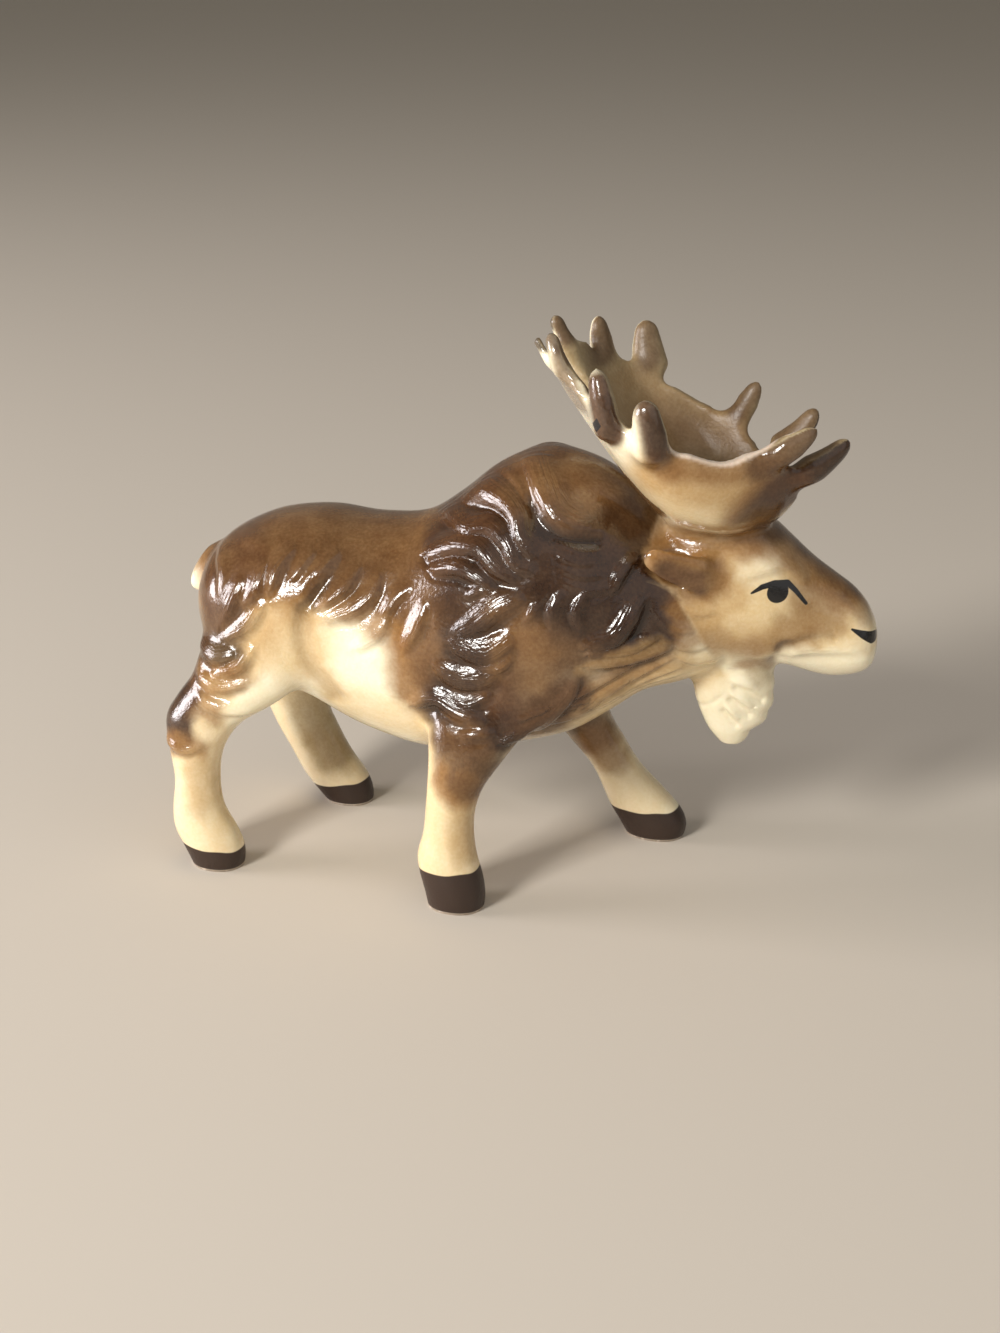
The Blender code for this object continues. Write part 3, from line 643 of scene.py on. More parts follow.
@dataclass
class Antler:
    """One cupped palm with its tines, in the head's frame."""

    side: int
    rim: tuple[Triple, ...]
    bulge: tuple[float, ...]
    tines: tuple[Tine, ...]
    collar: Collar = field(default_factory=Collar)
    spread: float = 0.16
    rise: float = 0.5
    root_thick: float = 2.9
    rim_thick: float = 1.6
    columns: int = 40
    rows: int = 26

    def middle_sheet(self) -> np.ndarray:
        """The sheet halfway through the palm, as columns of points from root to rim."""
        rim = smooth_columns(self.rim, self.columns)
        swell = np.interp(np.linspace(0, len(self.bulge) - 1, self.columns),
                          np.arange(len(self.bulge)), self.bulge)
        sheet = np.zeros((self.columns, self.rows, 3))
        steps = np.linspace(0.0, 1.0, self.rows)[:, None]
        for i in range(self.columns):
            share = self.spread + (1.0 - 2.0 * self.spread) * i / (self.columns - 1)
            root = self.collar.point(share, self.side, self.collar.foot + self.rise)
            pull = (root + rim[i]) / 2.0 + np.array([0.0, self.side * swell[i], -swell[i]])
            sheet[i] = (1 - steps) ** 2 * root + 2 * steps * (1 - steps) * pull + steps**2 * rim[i]
        return sheet

    def sheet_normals(self, sheet: np.ndarray) -> np.ndarray:
        """The direction across the sheet at each of its points."""
        normal = np.cross(np.gradient(sheet, axis=0), np.gradient(sheet, axis=1))
        return normal / np.linalg.norm(normal, axis=2, keepdims=True)

    def fingers(self) -> list[Tine]:
        """The tines, each turned to lie in the palm where it grows."""
        sheet = self.middle_sheet()
        spots, normals = sheet.reshape(-1, 3), self.sheet_normals(sheet).reshape(-1, 3)
        nearest = [int(np.linalg.norm(spots - tine.root, axis=1).argmin()) for tine in self.tines]
        return [tine.on_palm(normals[index]) for tine, index in zip(self.tines, nearest)]

    def palm(self) -> bpy.types.Object:
        """Model the palm, thick at its root and thin at its rim."""
        sheet = self.middle_sheet()
        normal = self.sheet_normals(sheet)
        half = np.linspace(self.root_thick, self.rim_thick, self.rows)[None, :, None] / 2.0
        outer, inner = sheet + normal * half, sheet - normal * half
        outline = [np.concatenate([outer[i], inner[i][::-1]]) for i in range(self.columns)]
        return ring_skin("palm", outline)

    def build(self) -> Forms:
        """Model the palm and its tines.

        Returns:
            Each form with the reach of its fillet.
        """
        forms = [self.palm()] + [tine.build("tine") for tine in self.fingers()]
        return [(turn_with_head(piece), ANTLER_FILLET) for piece in forms]


# How far each palm bulges outward, from its back to its front
BULGE = (1.0, 2.2, 3.0, 3.6, 4.0, 4.0, 3.2, 2.2, 0.6)


def right_antler() -> Antler:
    """The near antler, on the moose's right."""
    return Antler(
        side=-1, bulge=BULGE,
        rim=((-17.4, -5.2, 74.2), (-14.8, -9.2, 73.4), (-12.2, -11.8, 70.8), (-6.9, -15.8, 67.8),
             (-0.1, -15.8, 65.2), (5.4, -14.2, 63.8), (10.0, -12.9, 65.7), (13.4, -10.4, 62.4),
             (15.4, -7.6, 60.4)),
        tines=(Tine((-16.2, -5.2, 71.8), (-18.9, -3.9, 75.9), (-0.2, -0.4, 0.0), 1.5, 0.7),
               Tine((-14.6, -8.4, 71.6), (-17.0, -6.8, 77.2), (-0.4, -0.8, 0.0), 2.3, 0.9),
               Tine((-8.6, -13.9, 65.4), (-11.0, -13.2, 74.4), (-0.2, -1.0, 0.0), 2.9, 1.3),
               Tine((-3.8, -15.6, 63.6), (-4.9, -17.6, 71.9), (0.0, -1.2, 0.0), 3.3, 1.3),
               Tine((9.8, -12.6, 63.6), (15.9, -12.8, 68.1), (0.5, -0.6, -0.1), 2.8, 0.8),
               Tine((13.2, -9.0, 60.4), (20.3, -8.0, 65.7), (0.6, -0.8, -0.6), 2.8, 1.1)))


def left_antler() -> Antler:
    """The far antler, on the moose's left."""
    return Antler(
        side=1, bulge=BULGE,
        rim=((-17.2, 5.2, 73.6), (-15.0, 9.2, 73.2), (-12.2, 11.8, 71.2), (-7.5, 16.0, 69.0),
             (-1.8, 15.6, 66.0), (3.8, 14.0, 63.6), (6.8, 12.8, 63.4), (10.0, 10.2, 59.4),
             (12.6, 7.4, 59.0)),
        tines=(Tine((-14.4, 6.4, 70.6), (-17.5, 6.8, 76.6), (-0.2, 0.5, 0.2), 2.5, 0.9),
               Tine((-10.4, 13.0, 67.6), (-12.0, 13.4, 75.5), (-0.3, 1.0, 0.0), 3.0, 1.0),
               Tine((-4.6, 16.4, 66.0), (-5.7, 17.9, 74.3), (-0.1, 1.2, 0.0), 3.2, 1.3),
               Tine((6.4, 13.0, 61.0), (9.7, 13.0, 67.6), (0.3, 0.6, -0.2), 2.5, 0.9),
               Tine((11.6, 9.0, 58.6), (17.3, 8.0, 65.5), (0.9, 0.6, -0.8), 2.5, 1.1)))


@dataclass(frozen=True)
class Neighbour:
    """A form to search for from the skin, with its corners and the reach of its fillet."""

    tree: BVHTree
    low: np.ndarray
    high: np.ndarray
    reach: float

    @classmethod
    def of(cls, piece: bpy.types.Object, reach: float) -> Neighbour:
        """Make a form ready to be searched for."""
        corners = read_rows(piece.data.vertices, "co")
        work = bmesh.new()
        work.from_mesh(piece.data)
        tree = BVHTree.FromBMesh(work)
        work.free()
        return cls(tree, corners.min(axis=0), corners.max(axis=0), reach)


class Skin:
    """The figure's one skin, held as arrays while it is eased and carved."""

    def __init__(self, piece: bpy.types.Object) -> None:
        """Read the piece's points and edges."""
        self.piece = piece
        self.points = read_rows(piece.data.vertices, "co")
        ends = np.empty(len(piece.data.edges) * 2, dtype=np.int64)
        piece.data.edges.foreach_get("vertices", ends)
        self.edges = ends.reshape(-1, 2)

    def write(self) -> None:
        """Put the points back into the mesh."""
        self.piece.data.vertices.foreach_set("co", self.points.ravel())
        self.piece.data.update()

    def normals(self) -> np.ndarray:
        """The point normals of the mesh as written last."""
        return read_rows(self.piece.data.vertex_normals, "vector")

    def ease(self, weight: np.ndarray | float, rounds: int) -> None:
        """Draw each point towards its neighbours, by one weight or by its own."""
        size = len(self.points)
        weight = np.broadcast_to(weight, size)
        count = np.bincount(self.edges.ravel(), minlength=size).astype(float)
        low, high = self.edges[:, 0], self.edges[:, 1]
        for _ in range(rounds):
            total = np.empty_like(self.points)
            for axis in range(3):
                column = self.points[:, axis]
                total[:, axis] = (np.bincount(low, column[high], size)
                                  + np.bincount(high, column[low], size))
            self.points = self.points + weight[:, None] * (total / count[:, None] - self.points)

    def joint_weight(self, forms: list[Neighbour]) -> np.ndarray:
        """How near each point is to a second form.

        Args:
            forms: The forms that were fused.

        Returns:
            0 out on a form, up to 1 in a joint.
        """
        nearest = np.full((2, len(self.points)), 1.0)
        for form in forms:
            inside = (self.points > form.low - form.reach) & (self.points < form.high + form.reach)
            for index in np.flatnonzero(inside.all(axis=1)):
                away = form.tree.find_nearest(Vector(self.points[index]), form.reach)[3]
                if away is None:
                    continue
                share = away / form.reach
                if share < nearest[0, index]:
                    nearest[1, index] = nearest[0, index]
                    nearest[0, index] = share
                elif share < nearest[1, index]:
                    nearest[1, index] = share
        return ramp(1.0 - nearest[1], 0.0, 1.0)


def strands(first: tuple[Pair, ...], step: Pair, count: int, width: float, rise: float,
            head: bool = False) -> tuple[Lock, ...]:
    """A row of like locks, each a step on from the last and a little uneven.

    Args:
        first: The first lock's course.
        step: From one lock to the next.
        count: How many locks.
        width: Half of a lock's breadth.
        rise: How far it stands out.
        head: Whether the course is in the head's frame.

    Returns:
        The locks.
    """
    row = []
    for k in range(count):
        sway = math.sin(SWAY_TURN * k + first[0][0])
        size = 1.0 + SWAY_SIZE * sway
        root = np.array(first[0]) + np.array(step) * k
        path = [tuple(root + (np.array(spot) - first[0]) * size) for spot in first]
        row.append(Lock(tuple(path), width * size, rise * (1.0 - SWAY_RISE * sway), head))
    return tuple(row)


@dataclass
class Coat:
    """The hair carved on both flanks, the bell and the face."""

    locks: tuple[Lock, ...] = (
        # The hump, the shoulder and the upper foreleg
        Lock(((12.4, 60.0), (15.6, 58.6), (17.8, 56.3), (19.9, 54.0), (22.8, 52.7), (26.6, 52.4)), 2.0, 0.75),
        Lock(((9.0, 57.6), (12.2, 57.8), (14.8, 56.7), (16.2, 54.8)), 1.1, 0.60),
        Lock(((5.4, 53.4), (8.9, 55.0), (12.0, 55.0), (14.8, 53.5), (15.7, 51.3), (18.2, 49.0)), 1.5, 0.95),
        Lock(((1.8, 51.0), (4.4, 51.6), (8.6, 50.9), (11.6, 51.6), (14.0, 50.3), (15.8, 47.9), (18.6, 47.5)),
             1.4, 0.78),
        Lock(((3.6, 47.2), (7.4, 48.7), (10.6, 49.0), (13.2, 47.2), (16.4, 46.0)), 1.5, 1.00),
        Lock(((4.8, 45.6), (8.4, 46.4), (11.2, 45.6), (13.4, 44.6)), 1.2, 0.70),
        Lock(((9.4, 38.6), (11.9, 40.2), (13.9, 42.2), (17.6, 44.2)), 1.7, 0.70),
        Lock(((10.2, 43.6), (11.8, 44.4), (13.2, 43.4)), 0.9, 0.40),
        Lock(((9.0, 36.6), (12.4, 36.0), (16.6, 38.9)), 1.9, 0.66),
        Lock(((12.0, 33.9), (14.4, 34.4), (16.6, 36.4)), 1.0, 0.40),
        Lock(((6.6, 33.0), (9.4, 31.9), (12.0, 32.2), (14.6, 34.0)), 1.7, 0.66),
        Lock(((7.6, 29.4), (10.2, 29.0), (13.6, 30.9)), 1.3, 0.50),
        Lock(((3.2, 27.6), (6.0, 28.9), (9.0, 27.8), (13.4, 26.9)), 1.4, 0.70),
        Lock(((10.4, 25.0), (14.6, 25.8)), 0.9, 0.35),
        # The chest and the neck
        Lock(((15.8, 24.6), (19.2, 25.9), (21.8, 28.6), (23.8, 31.4), (24.4, 34.2)), 1.1, 0.70),
        Lock(((20.0, 26.0), (23.6, 27.5), (26.4, 29.6), (28.6, 32.2)), 1.0, 0.60),
        Lock(((24.8, 28.4), (28.0, 31.0), (31.4, 33.2)), 0.9, 0.50),
        Lock(((26.0, 35.2), (29.6, 35.6), (33.0, 36.6), (36.4, 38.0)), 1.0, 0.60),
        Lock(((26.0, 36.8), (30.4, 37.2), (34.4, 39.4)), 1.0, 0.60),
        Lock(((26.2, 38.0), (28.8, 38.9), (30.4, 41.4), (31.8, 44.6)), 1.5, 0.90),
        Lock(((21.4, 44.6), (20.8, 42.4), (21.4, 40.2)), 0.9, 0.35),
        Lock(((24.6, 45.0), (23.8, 42.6), (25.0, 39.8)), 0.9, 0.40),
        Lock(((18.6, 43.2), (17.8, 41.0)), 0.8, 0.30),
        Lock(((28.4, 45.6), (29.0, 47.4), (30.8, 49.4)), 1.0, 0.50),
        # The flank
        Lock(((-17.6, 40.8), (-17.2, 43.2), (-15.4, 46.0)), 1.3, 0.37),
        Lock(((-14.6, 42.6), (-12.6, 45.6)), 1.0, 0.27),
        Lock(((-12.8, 40.2), (-11.4, 43.0), (-9.4, 45.8)), 1.3, 0.41),
        Lock(((-10.2, 39.4), (-7.8, 41.4), (-6.0, 44.6)), 1.1, 0.37),
        Lock(((-9.2, 37.6), (-6.0, 39.1), (-3.7, 41.4), (-3.2, 44.2)), 1.3, 0.41),
        Lock(((-5.2, 34.4), (-2.4, 36.4), (-1.2, 39.2)), 1.2, 0.37),
        Lock(((-1.8, 38.6), (-0.6, 41.0), (1.6, 43.2)), 1.0, 0.31),
        Lock(((1.8, 35.6), (3.2, 38.6), (4.0, 41.8)), 1.2, 0.41),
        # The haunch and the hock
        Lock(((-24.6, 35.2), (-23.2, 38.4), (-21.8, 41.8)), 1.5, 0.41),
        Lock(((-20.6, 38.8), (-19.4, 41.4), (-18.8, 44.4)), 1.3, 0.34),
        Lock(((-23.6, 33.4), (-20.4, 35.6), (-18.2, 39.2)), 1.2, 0.37),
        Lock(((-28.0, 31.0), (-25.0, 30.4), (-22.2, 31.6)), 1.5, 0.65),
        Lock(((-25.0, 28.2), (-21.6, 29.6), (-19.4, 33.0)), 1.2, 0.40),
        Lock(((-27.6, 27.2), (-24.8, 26.6), (-19.8, 27.9)), 1.1, 0.45),
        Lock(((-27.0, 24.6), (-24.2, 23.7), (-20.0, 23.4)), 1.0, 0.40),
        Lock(((-28.4, 44.4), (-25.8, 42.0), (-25.0, 38.0)), 1.2, 0.27),
        Lock(((-33.0, 17.9), (-30.0, 17.0), (-26.6, 17.9)), 0.9, 0.35),
        # The brow and the lip, then long strands down the chest
        Lock(((9.2, 47.6), (13.2, 48.4), (17.0, 45.9)), 1.2, 0.35, True),
        Lock(((14.4, 36.2), (18.0, 37.0), (22.0, 37.2), (25.2, 37.0)), 1.4, 0.30, True),
        Lock(((15.0, 25.2), (21.0, 26.8), (27.0, 30.2), (33.0, 34.2), (36.6, 36.4)), 0.6, 0.40),
        Lock(((17.4, 27.6), (23.0, 30.0), (29.0, 33.8), (34.6, 37.6)), 0.6, 0.40),
        Lock(((21.0, 25.8), (26.6, 28.6), (32.6, 32.4), (37.2, 34.6)), 0.55, 0.34),
        Lock(((26.6, 27.8), (31.6, 31.2), (37.0, 33.2)), 0.5, 0.28),
        # The tufts where cheek and neck meet, and the curls on the bell
        Lock(((-1.8, 41.6), (0.4, 40.0), (3.0, 39.6)), 0.9, 0.34, True),
        Lock(((-0.8, 38.8), (1.8, 37.4), (4.8, 37.3)), 0.9, 0.34, True),
        Lock(((1.2, 43.2), (3.2, 42.2), (5.4, 42.4)), 0.9, 0.26, True),
        Lock(((0.4, 36.4), (3.4, 35.0), (7.0, 35.4)), 0.8, 0.30, True),
        Lock(((8.4, 31.4), (10.2, 30.9), (12.0, 29.9)), 0.7, 0.26, True),
        Lock(((8.2, 29.6), (9.8, 28.6), (11.2, 27.3)), 0.7, 0.34, True),
        Lock(((7.6, 27.6), (8.6, 26.6), (9.5, 25.3)), 0.6, 0.30, True),
    ) + (strands(((17.6, 26.2), (21.2, 27.0), (24.6, 29.4)), (1.8, 1.0), 4, 0.6, 0.30)
         + strands(((20.8, 50.9), (23.4, 50.0), (26.0, 50.2)), (0.5, -1.5), 4, 0.8, 0.20)
         + strands(((-25.4, 47.2), (-20.6, 47.2)), (1.0, -1.6), 2, 1.0, 0.25))
    steps: int = 48
    margin: float = 2.4
    taper_root: float = 0.12
    taper_power: float = 0.6
    least_width: float = 0.45
    long_slope: float = 1.75
    short_slope: float = 0.95
    groove: float = 0.34
    groove_place: float = 1.15
    groove_width: float = 0.45
    groove_fade: Pair = (0.02, 0.20)
    flank_facing: Pair = (0.10, 0.50)
    far_side: float = 0.85
    creases: tuple[Lock, ...] = (
        Lock(((11.0, 58.4), (14.6, 57.2), (16.6, 55.4), (18.4, 53.4), (21.0, 51.8), (25.4, 51.0)), 0.8, 0.40),
        Lock(((-11.4, 41.4), (-12.9, 37.4), (-12.7, 33.2), (-10.6, 29.0), (-8.8, 26.4)), 1.3, 0.51),
        Lock(((14.2, 37.0), (17.2, 38.4), (20.4, 38.6)), 0.8, 0.25, True),
        Lock(((13.6, 34.8), (14.6, 37.2)), 1.0, 0.40, True),
        Lock(((8.8, 30.2), (10.4, 29.6), (12.4, 28.4)), 0.42, 0.42, True),
        Lock(((8.2, 28.4), (9.4, 27.4), (10.8, 26.2)), 0.42, 0.42, True),
        Lock(((7.4, 26.6), (8.2, 25.7), (9.2, 24.6)), 0.38, 0.36, True),
        Lock(((6.9, 28.9), (5.5, 27.4), (3.4, 26.4)), 0.30, 0.16, True),
    )

    def course(self, lock: Lock) -> np.ndarray:
        """A lock's smooth course in x and z."""
        return smooth_columns(lock.path, self.steps)

    def carve(self, skin: Skin) -> tuple[np.ndarray, np.ndarray]:
        """Raise the locks, steep on their lower side, with a groove beside each.

        Args:
            skin: The figure's skin, changed in place.

        Returns:
            How far each point was raised or cut, and its place across its lock, along it and
            in the row of locks.
        """
        normals = skin.normals()
        body = skin.points
        head = head_frame(body)
        flank = ramp(np.abs(normals[:, 1]), *self.flank_facing)
        rise = np.zeros(len(body))
        cut = np.zeros(len(body))
        combed = np.zeros((len(body), 3))
        for turn, lock in enumerate(self.locks):
            frame = head if lock.head else body
            path = self.course(lock)
            length = np.linalg.norm(np.diff(path, axis=0), axis=1).sum()
            margin = self.margin * lock.width
            low, high = path.min(axis=0) - margin, path.max(axis=0) + margin
            near = np.flatnonzero((frame[:, 0] > low[0]) & (frame[:, 0] < high[0])
                                  & (frame[:, 2] > low[1]) & (frame[:, 2] < high[1]) & (flank > 0.0))
            gap = frame[near][:, None, (0, 2)] - path[None]
            away = np.linalg.norm(gap, axis=2)
            place = away.argmin(axis=1)
            pick = np.arange(len(near))
            ahead = np.gradient(path, axis=0)[place]
            gap = gap[pick, place]
            signed = away[pick, place] * np.sign(ahead[:, 0] * gap[:, 1] - ahead[:, 1] * gap[:, 0])
            share = place / (self.steps - 1)
            taper = np.sin(math.pi * (self.taper_root + (1.0 - self.taper_root) * share)) ** self.taper_power
            width = lock.width * (self.least_width + (1.0 - self.least_width) * taper)
            spread = np.where(signed > 0.0, width * self.long_slope, width * self.short_slope)
            off = np.clip(np.abs(signed) / spread, 0.0, 1.0)
            crest = (1.0 - off**2) ** 2
            side = np.where(body[near, 1] > 0.0, self.far_side, 1.0) * flank[near]
            height = lock.rise * taper * crest * side
            taller = height > rise[near]
            combed[near[taller]] = np.column_stack([signed, share * length, np.full(len(near), turn)])[taller]
            rise[near] = np.maximum(rise[near], height)
            furrow = np.exp(-((signed + self.groove_place * width) / (self.groove_width * width)) ** 2)
            cut[near] = np.maximum(cut[near], self.groove * lock.rise * taper * furrow * side)
        relief = rise - cut * (1.0 - ramp(rise, *self.groove_fade))
        for crease in self.creases:
            spots = (head if crease.head else body)[:, (0, 2)]
            away = stroke_distance(spots, self.course(crease))
            relief = relief - crease.rise * np.exp(-(away / crease.width) ** 2) * flank
        skin.points = body + normals * relief[:, None]
        skin.write()
        return relief, combed


@dataclass
class EarHollow:
    """The dish in each ear, in the head's frame."""

    centre: Pair = (0.6, 47.6)
    half_length: float = 3.7
    half_height: float = 2.0
    lean: float = math.radians(22.0)
    depth: float = 0.7
    slope: Pair = (0.35, 1.1)
    ear_facing: Pair = (0.35, 0.75)
    ear_side: float = 6.0

    def carve(self, skin: Skin) -> None:
        """Press the dish into the side of each ear."""
        normals = skin.normals()
        head = head_frame(skin.points)
        along, up = head[:, 0] - self.centre[0], head[:, 2] - self.centre[1]
        cosine, sine = math.cos(self.lean), math.sin(self.lean)
        far = np.hypot((cosine * along - sine * up) / self.half_length,
                       (sine * along + cosine * up) / self.half_height)
        facing = ramp(np.abs(normals[:, 1]), *self.ear_facing) * (np.abs(head[:, 1]) > self.ear_side)
        skin.points = skin.points - normals * (self.depth * (1.0 - ramp(far, *self.slope)) * facing)[:, None]
        skin.write()


class Figurine:
    """The whole moose: its forms fused, carved, painted and glazed."""

    def __init__(self) -> None:
        """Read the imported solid's box."""
        self.low, self.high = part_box(NODE)
        self.part = (self.high.x - self.low.x) / FORM_LENGTH
        self.shift = np.zeros(3)
        self.piece: bpy.types.Object | None = None

    def forms(self) -> Forms:
        """Model every form of the figure."""
        made = Trunk().build() + Legs().build() + Head().build() + Collar().build()
        return made + right_antler().build() + left_antler().build()

    def fuse(self) -> list[Neighbour]:
        """Fuse the forms into one skin.

        Returns:
            The forms as they were, to search for.
        """
        forms = self.forms()
        neighbours = [Neighbour.of(piece, reach) for piece, reach in forms]
        bpy.ops.object.select_all(action="DESELECT")
        for piece, _ in forms:
            piece.select_set(True)
        bpy.context.view_layer.objects.active = forms[0][0]
        bpy.ops.object.join()
        self.piece = bpy.context.active_object
        self.piece.name = "moose"
        remesh = self.piece.modifiers.new("fuse", "REMESH")
        remesh.mode = "VOXEL"
        remesh.voxel_size = VOXEL
        bpy.ops.object.modifier_apply(modifier=remesh.name)
        LOG.info("fused skin: %d points", len(self.piece.data.vertices))
        return neighbours

    def carve(self, neighbours: list[Neighbour]) -> None:
        """Fillet the joints, carve the ears and the hair, and store the relief on the points."""
        skin = Skin(self.piece)
        skin.ease(EVEN_WEIGHT, EVEN_ROUNDS)
        skin.ease(JOINT_WEIGHT * skin.joint_weight(neighbours), JOINT_ROUNDS)
        skin.write()
        EarHollow().carve(skin)
        relief, combed = Coat().carve(skin)
        skin.ease(CARVED_WEIGHT, CARVED_ROUNDS)
        skin.write()
        layer = self.piece.data.attributes.new("relief", "FLOAT", "POINT")
        layer.data.foreach_set("value", relief)
        layer = self.piece.data.attributes.new("combed", "FLOAT_VECTOR", "POINT")
        layer.data.foreach_set("vector", combed.ravel())

    def finish_skin(self) -> None:
        """Thin the skin, cut the hooves off flat and set it where the solid is."""
        activate(self.piece)
        triangles = sum(len(face.vertices) - 2 for face in self.piece.data.polygons)
        thin = self.piece.modifiers.new("thin", "DECIMATE")
        thin.ratio = MOST_TRIANGLES / triangles
        thin.use_collapse_triangulate = True
        bpy.ops.object.modifier_apply(modifier=thin.name)
        bpy.ops.object.mode_set(mode="EDIT")
        bpy.ops.mesh.select_all(action="SELECT")
        bpy.ops.mesh.bisect(plane_co=(0, 0, 0), plane_no=(0, 0, 1), use_fill=True, clear_inner=True)
        bpy.ops.mesh.select_all(action="SELECT")
        bpy.ops.mesh.quads_convert_to_tris()
        bpy.ops.mesh.normals_make_consistent(inside=False)
        bpy.ops.object.mode_set(mode="OBJECT")
        corners = read_rows(self.piece.data.vertices, "co")
        middle = (corners.min(axis=0) + corners.max(axis=0)) / 2.0
        target = (self.low + self.high) / 2.0
        self.shift = np.array([target.x / self.part - middle[0], target.y / self.part - middle[1], 0.0])
        self.piece.data.transform(Matrix.Scale(self.part, 4) @ Matrix.Translation(Vector(self.shift)))
        bpy.ops.object.shade_smooth()
        LOG.info("finished skin: %d triangles, shift %s", len(self.piece.data.polygons), self.shift)

    def build(self) -> bpy.types.Object:
        """Model, paint and glaze the figure.

        Returns:
            The finished piece.
        """
        self.carve(self.fuse())
        self.finish_skin()
        Airbrush(self.part, self.shift).paint(self.piece)
        Glaze(self.part).dress(self.piece)
        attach(self.piece, BODY)
        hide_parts(NODE)
        return self.piece


@dataclass
class Zoning:
    """Where the head and the antlers' outer and inner faces begin, in the head's frame."""

    neck_edge: tuple[Pair, ...] = (
        (30.0, 9.0), (35.0, 5.6), (38.0, 4.0), (41.0, 2.4), (43.0, 1.2), (44.6, 0.2), (46.0, -2.0),
        (49.0, -4.2), (52.0, -3.0), (56.0, -1.0),
    )
    neck_blend: Pair = (-0.5, 0.6)
    collar_top: float = 53.6
    collar_back: float = 1.0
    back_slope: float = 0.75
    front_slope: float = 0.08
    bowl_middle: Triple = (2.0, 0.0, 74.0)
    bowl_stretch: Triple = (0.6, 1.0, 0.8)
    bowl_facing: Pair = (-0.15, 0.25)

    def shares(self, head: np.ndarray, normals: np.ndarray) -> dict[Zone, np.ndarray]:
        """How far each point belongs to each zone.

        Args:
            head: The points in the head's frame.
            normals: The normals in the head's frame.

        Returns:
            A share from 0 to 1 for each point and zone.
        """
        ahead, height = head[:, 0], head[:, 2]
        floor = (self.collar_top + self.back_slope * np.maximum(0.0, self.collar_back - ahead)
                 + self.front_slope * np.maximum(0.0, ahead))
        antler = (height > floor).astype(float)
        out = (head - self.bowl_middle) * self.bowl_stretch
        out /= np.linalg.norm(out, axis=1, keepdims=True)
        outside = ramp((normals * out).sum(axis=1), *self.bowl_facing)
        edge = np.array(self.neck_edge)
        skull = ramp(ahead - np.interp(height, edge[:, 0], edge[:, 1]), *self.neck_blend) * (1.0 - antler)
        return {Zone.BODY: (1.0 - skull) * (1.0 - antler), Zone.HEAD: skull,
                Zone.ANTLER_OUTSIDE: antler * outside, Zone.ANTLER_INSIDE: antler * (1.0 - outside)}


@dataclass
class WipedRim:
    """The thin rim of the near palm, wiped bare to a pale blush."""

    blush: float = 0.85
    columns: int = 60
    first: int = 28
    last: int = 48
    lift: float = 0.3
    tip: tuple[Triple, ...] = ((12.4, -12.5, 67.8), (15.2, -12.7, 69.2))
    edge: Pair = (0.75, 1.25)

    def wiped(self, colour: np.ndarray, head: np.ndarray) -> np.ndarray:
        """Wipe the rim.

        Args:
            colour: The colours so far.
            head: The points in the head's frame.

        Returns:
            The colours with the rim wiped.
        """
        rim = smooth_columns(right_antler().rim, self.columns)[self.first:self.last]
        course = np.vstack([rim + (0.0, 0.0, self.lift), *self.tip])
        away = np.linalg.norm(head[:, None] - course, axis=2).min(axis=1)
        weight = self.blush * (1.0 - ramp(away, *self.edge))
        return colour + (np.array(Paint.BLUSH.value) - colour) * weight[:, None]


@dataclass
class InkWork:
    """The eyes, lashes and nostrils, and the painted shade of a small pit, not carved, at the foot of a tine
    of the near antler.
    """

    strokes: tuple[Stroke, ...] = (
        Stroke(((13.0, 45.2), (13.05, 45.2)), (1.34, 1.34)),
        Stroke(((9.7, 45.2), (11.0, 46.0), (12.5, 46.4), (14.2, 46.35), (15.4, 45.2), (16.8, 43.5)),
               (0.14, 0.34, 0.36, 0.34, 0.28, 0.20)),
        Stroke(((23.0, 39.9), (24.6, 39.1), (25.9, 38.5)), (0.12, 0.50, 0.72)),
    )
    side: float = 1.5
    pit: Pair = (-10.6, 67.9)
    pit_half: float = 0.55
    pit_slopes: Pair = (1.0, 0.6)
    pit_side: float = -14.2
    margin: float = 1.0

    def distance(self, head: np.ndarray) -> np.ndarray:
        """Distance to the edge of the ink, below 0 inside it."""
        spots = head[:, (0, 2)]
        best = np.full(len(head), FAR)
        for stroke in self.strokes:
            best = np.minimum(best, stroke_distance(spots, stroke.path, stroke.widths))
        best = np.where(np.abs(head[:, 1]) > self.side, best, FAR)
        # Painted shade: a small ink diamond stands for the dark inside of a pit that is not carved
        pit_shade = np.abs(spots - self.pit) @ np.array(self.pit_slopes) - self.pit_half
        return np.minimum(best, np.where(head[:, 1] < self.pit_side, pit_shade, FAR))


@dataclass
class HoofPaint:
    """The painted hooves, each up to a slightly wavy border."""

    borders: tuple[HoofBorder, ...] = (
        HoofBorder(2.0, 14.0, -1, 5.2, 5.9), HoofBorder(-36.0, -20.0, -1, 3.6, 2.6),
        HoofBorder(-26.0, -8.0, 1, 1.6, 4.2), HoofBorder(20.0, 40.0, 1, 4.2, 4.4),
    )
    side: float = 4.0
    wave: Wave = Wave(0.07, (1.3, 1.0, 0.0))
    margin: float = 0.5

    def distance(self, body: np.ndarray) -> np.ndarray:
        """Height above the hooves' painted border, below 0 on a hoof."""
        along, aside, height = body.T
        wave = self.wave.at(body)
        best = np.full(len(body), FAR)
        for hoof in self.borders:
            mine = (along > hoof.rear) & (along < hoof.front) & (aside * hoof.side > self.side)
            edge = np.interp(along, (hoof.rear, hoof.front), (hoof.rear_height, hoof.front_height))
            best = np.where(mine, height - edge - wave, best)
        return best


def wash(paint: Paint, path: tuple, reach: float, soft: float, strength: float, side: int = 0) -> Spray:
    """A spray on the body or legs."""
    return Spray(paint, path, reach, soft, strength, Zone.BODY, side)


def face(paint: Paint, path: tuple, reach: float, soft: float, strength: float) -> Spray:
    """A spray on the head."""
    return Spray(paint, path, reach, soft, strength, Zone.HEAD)


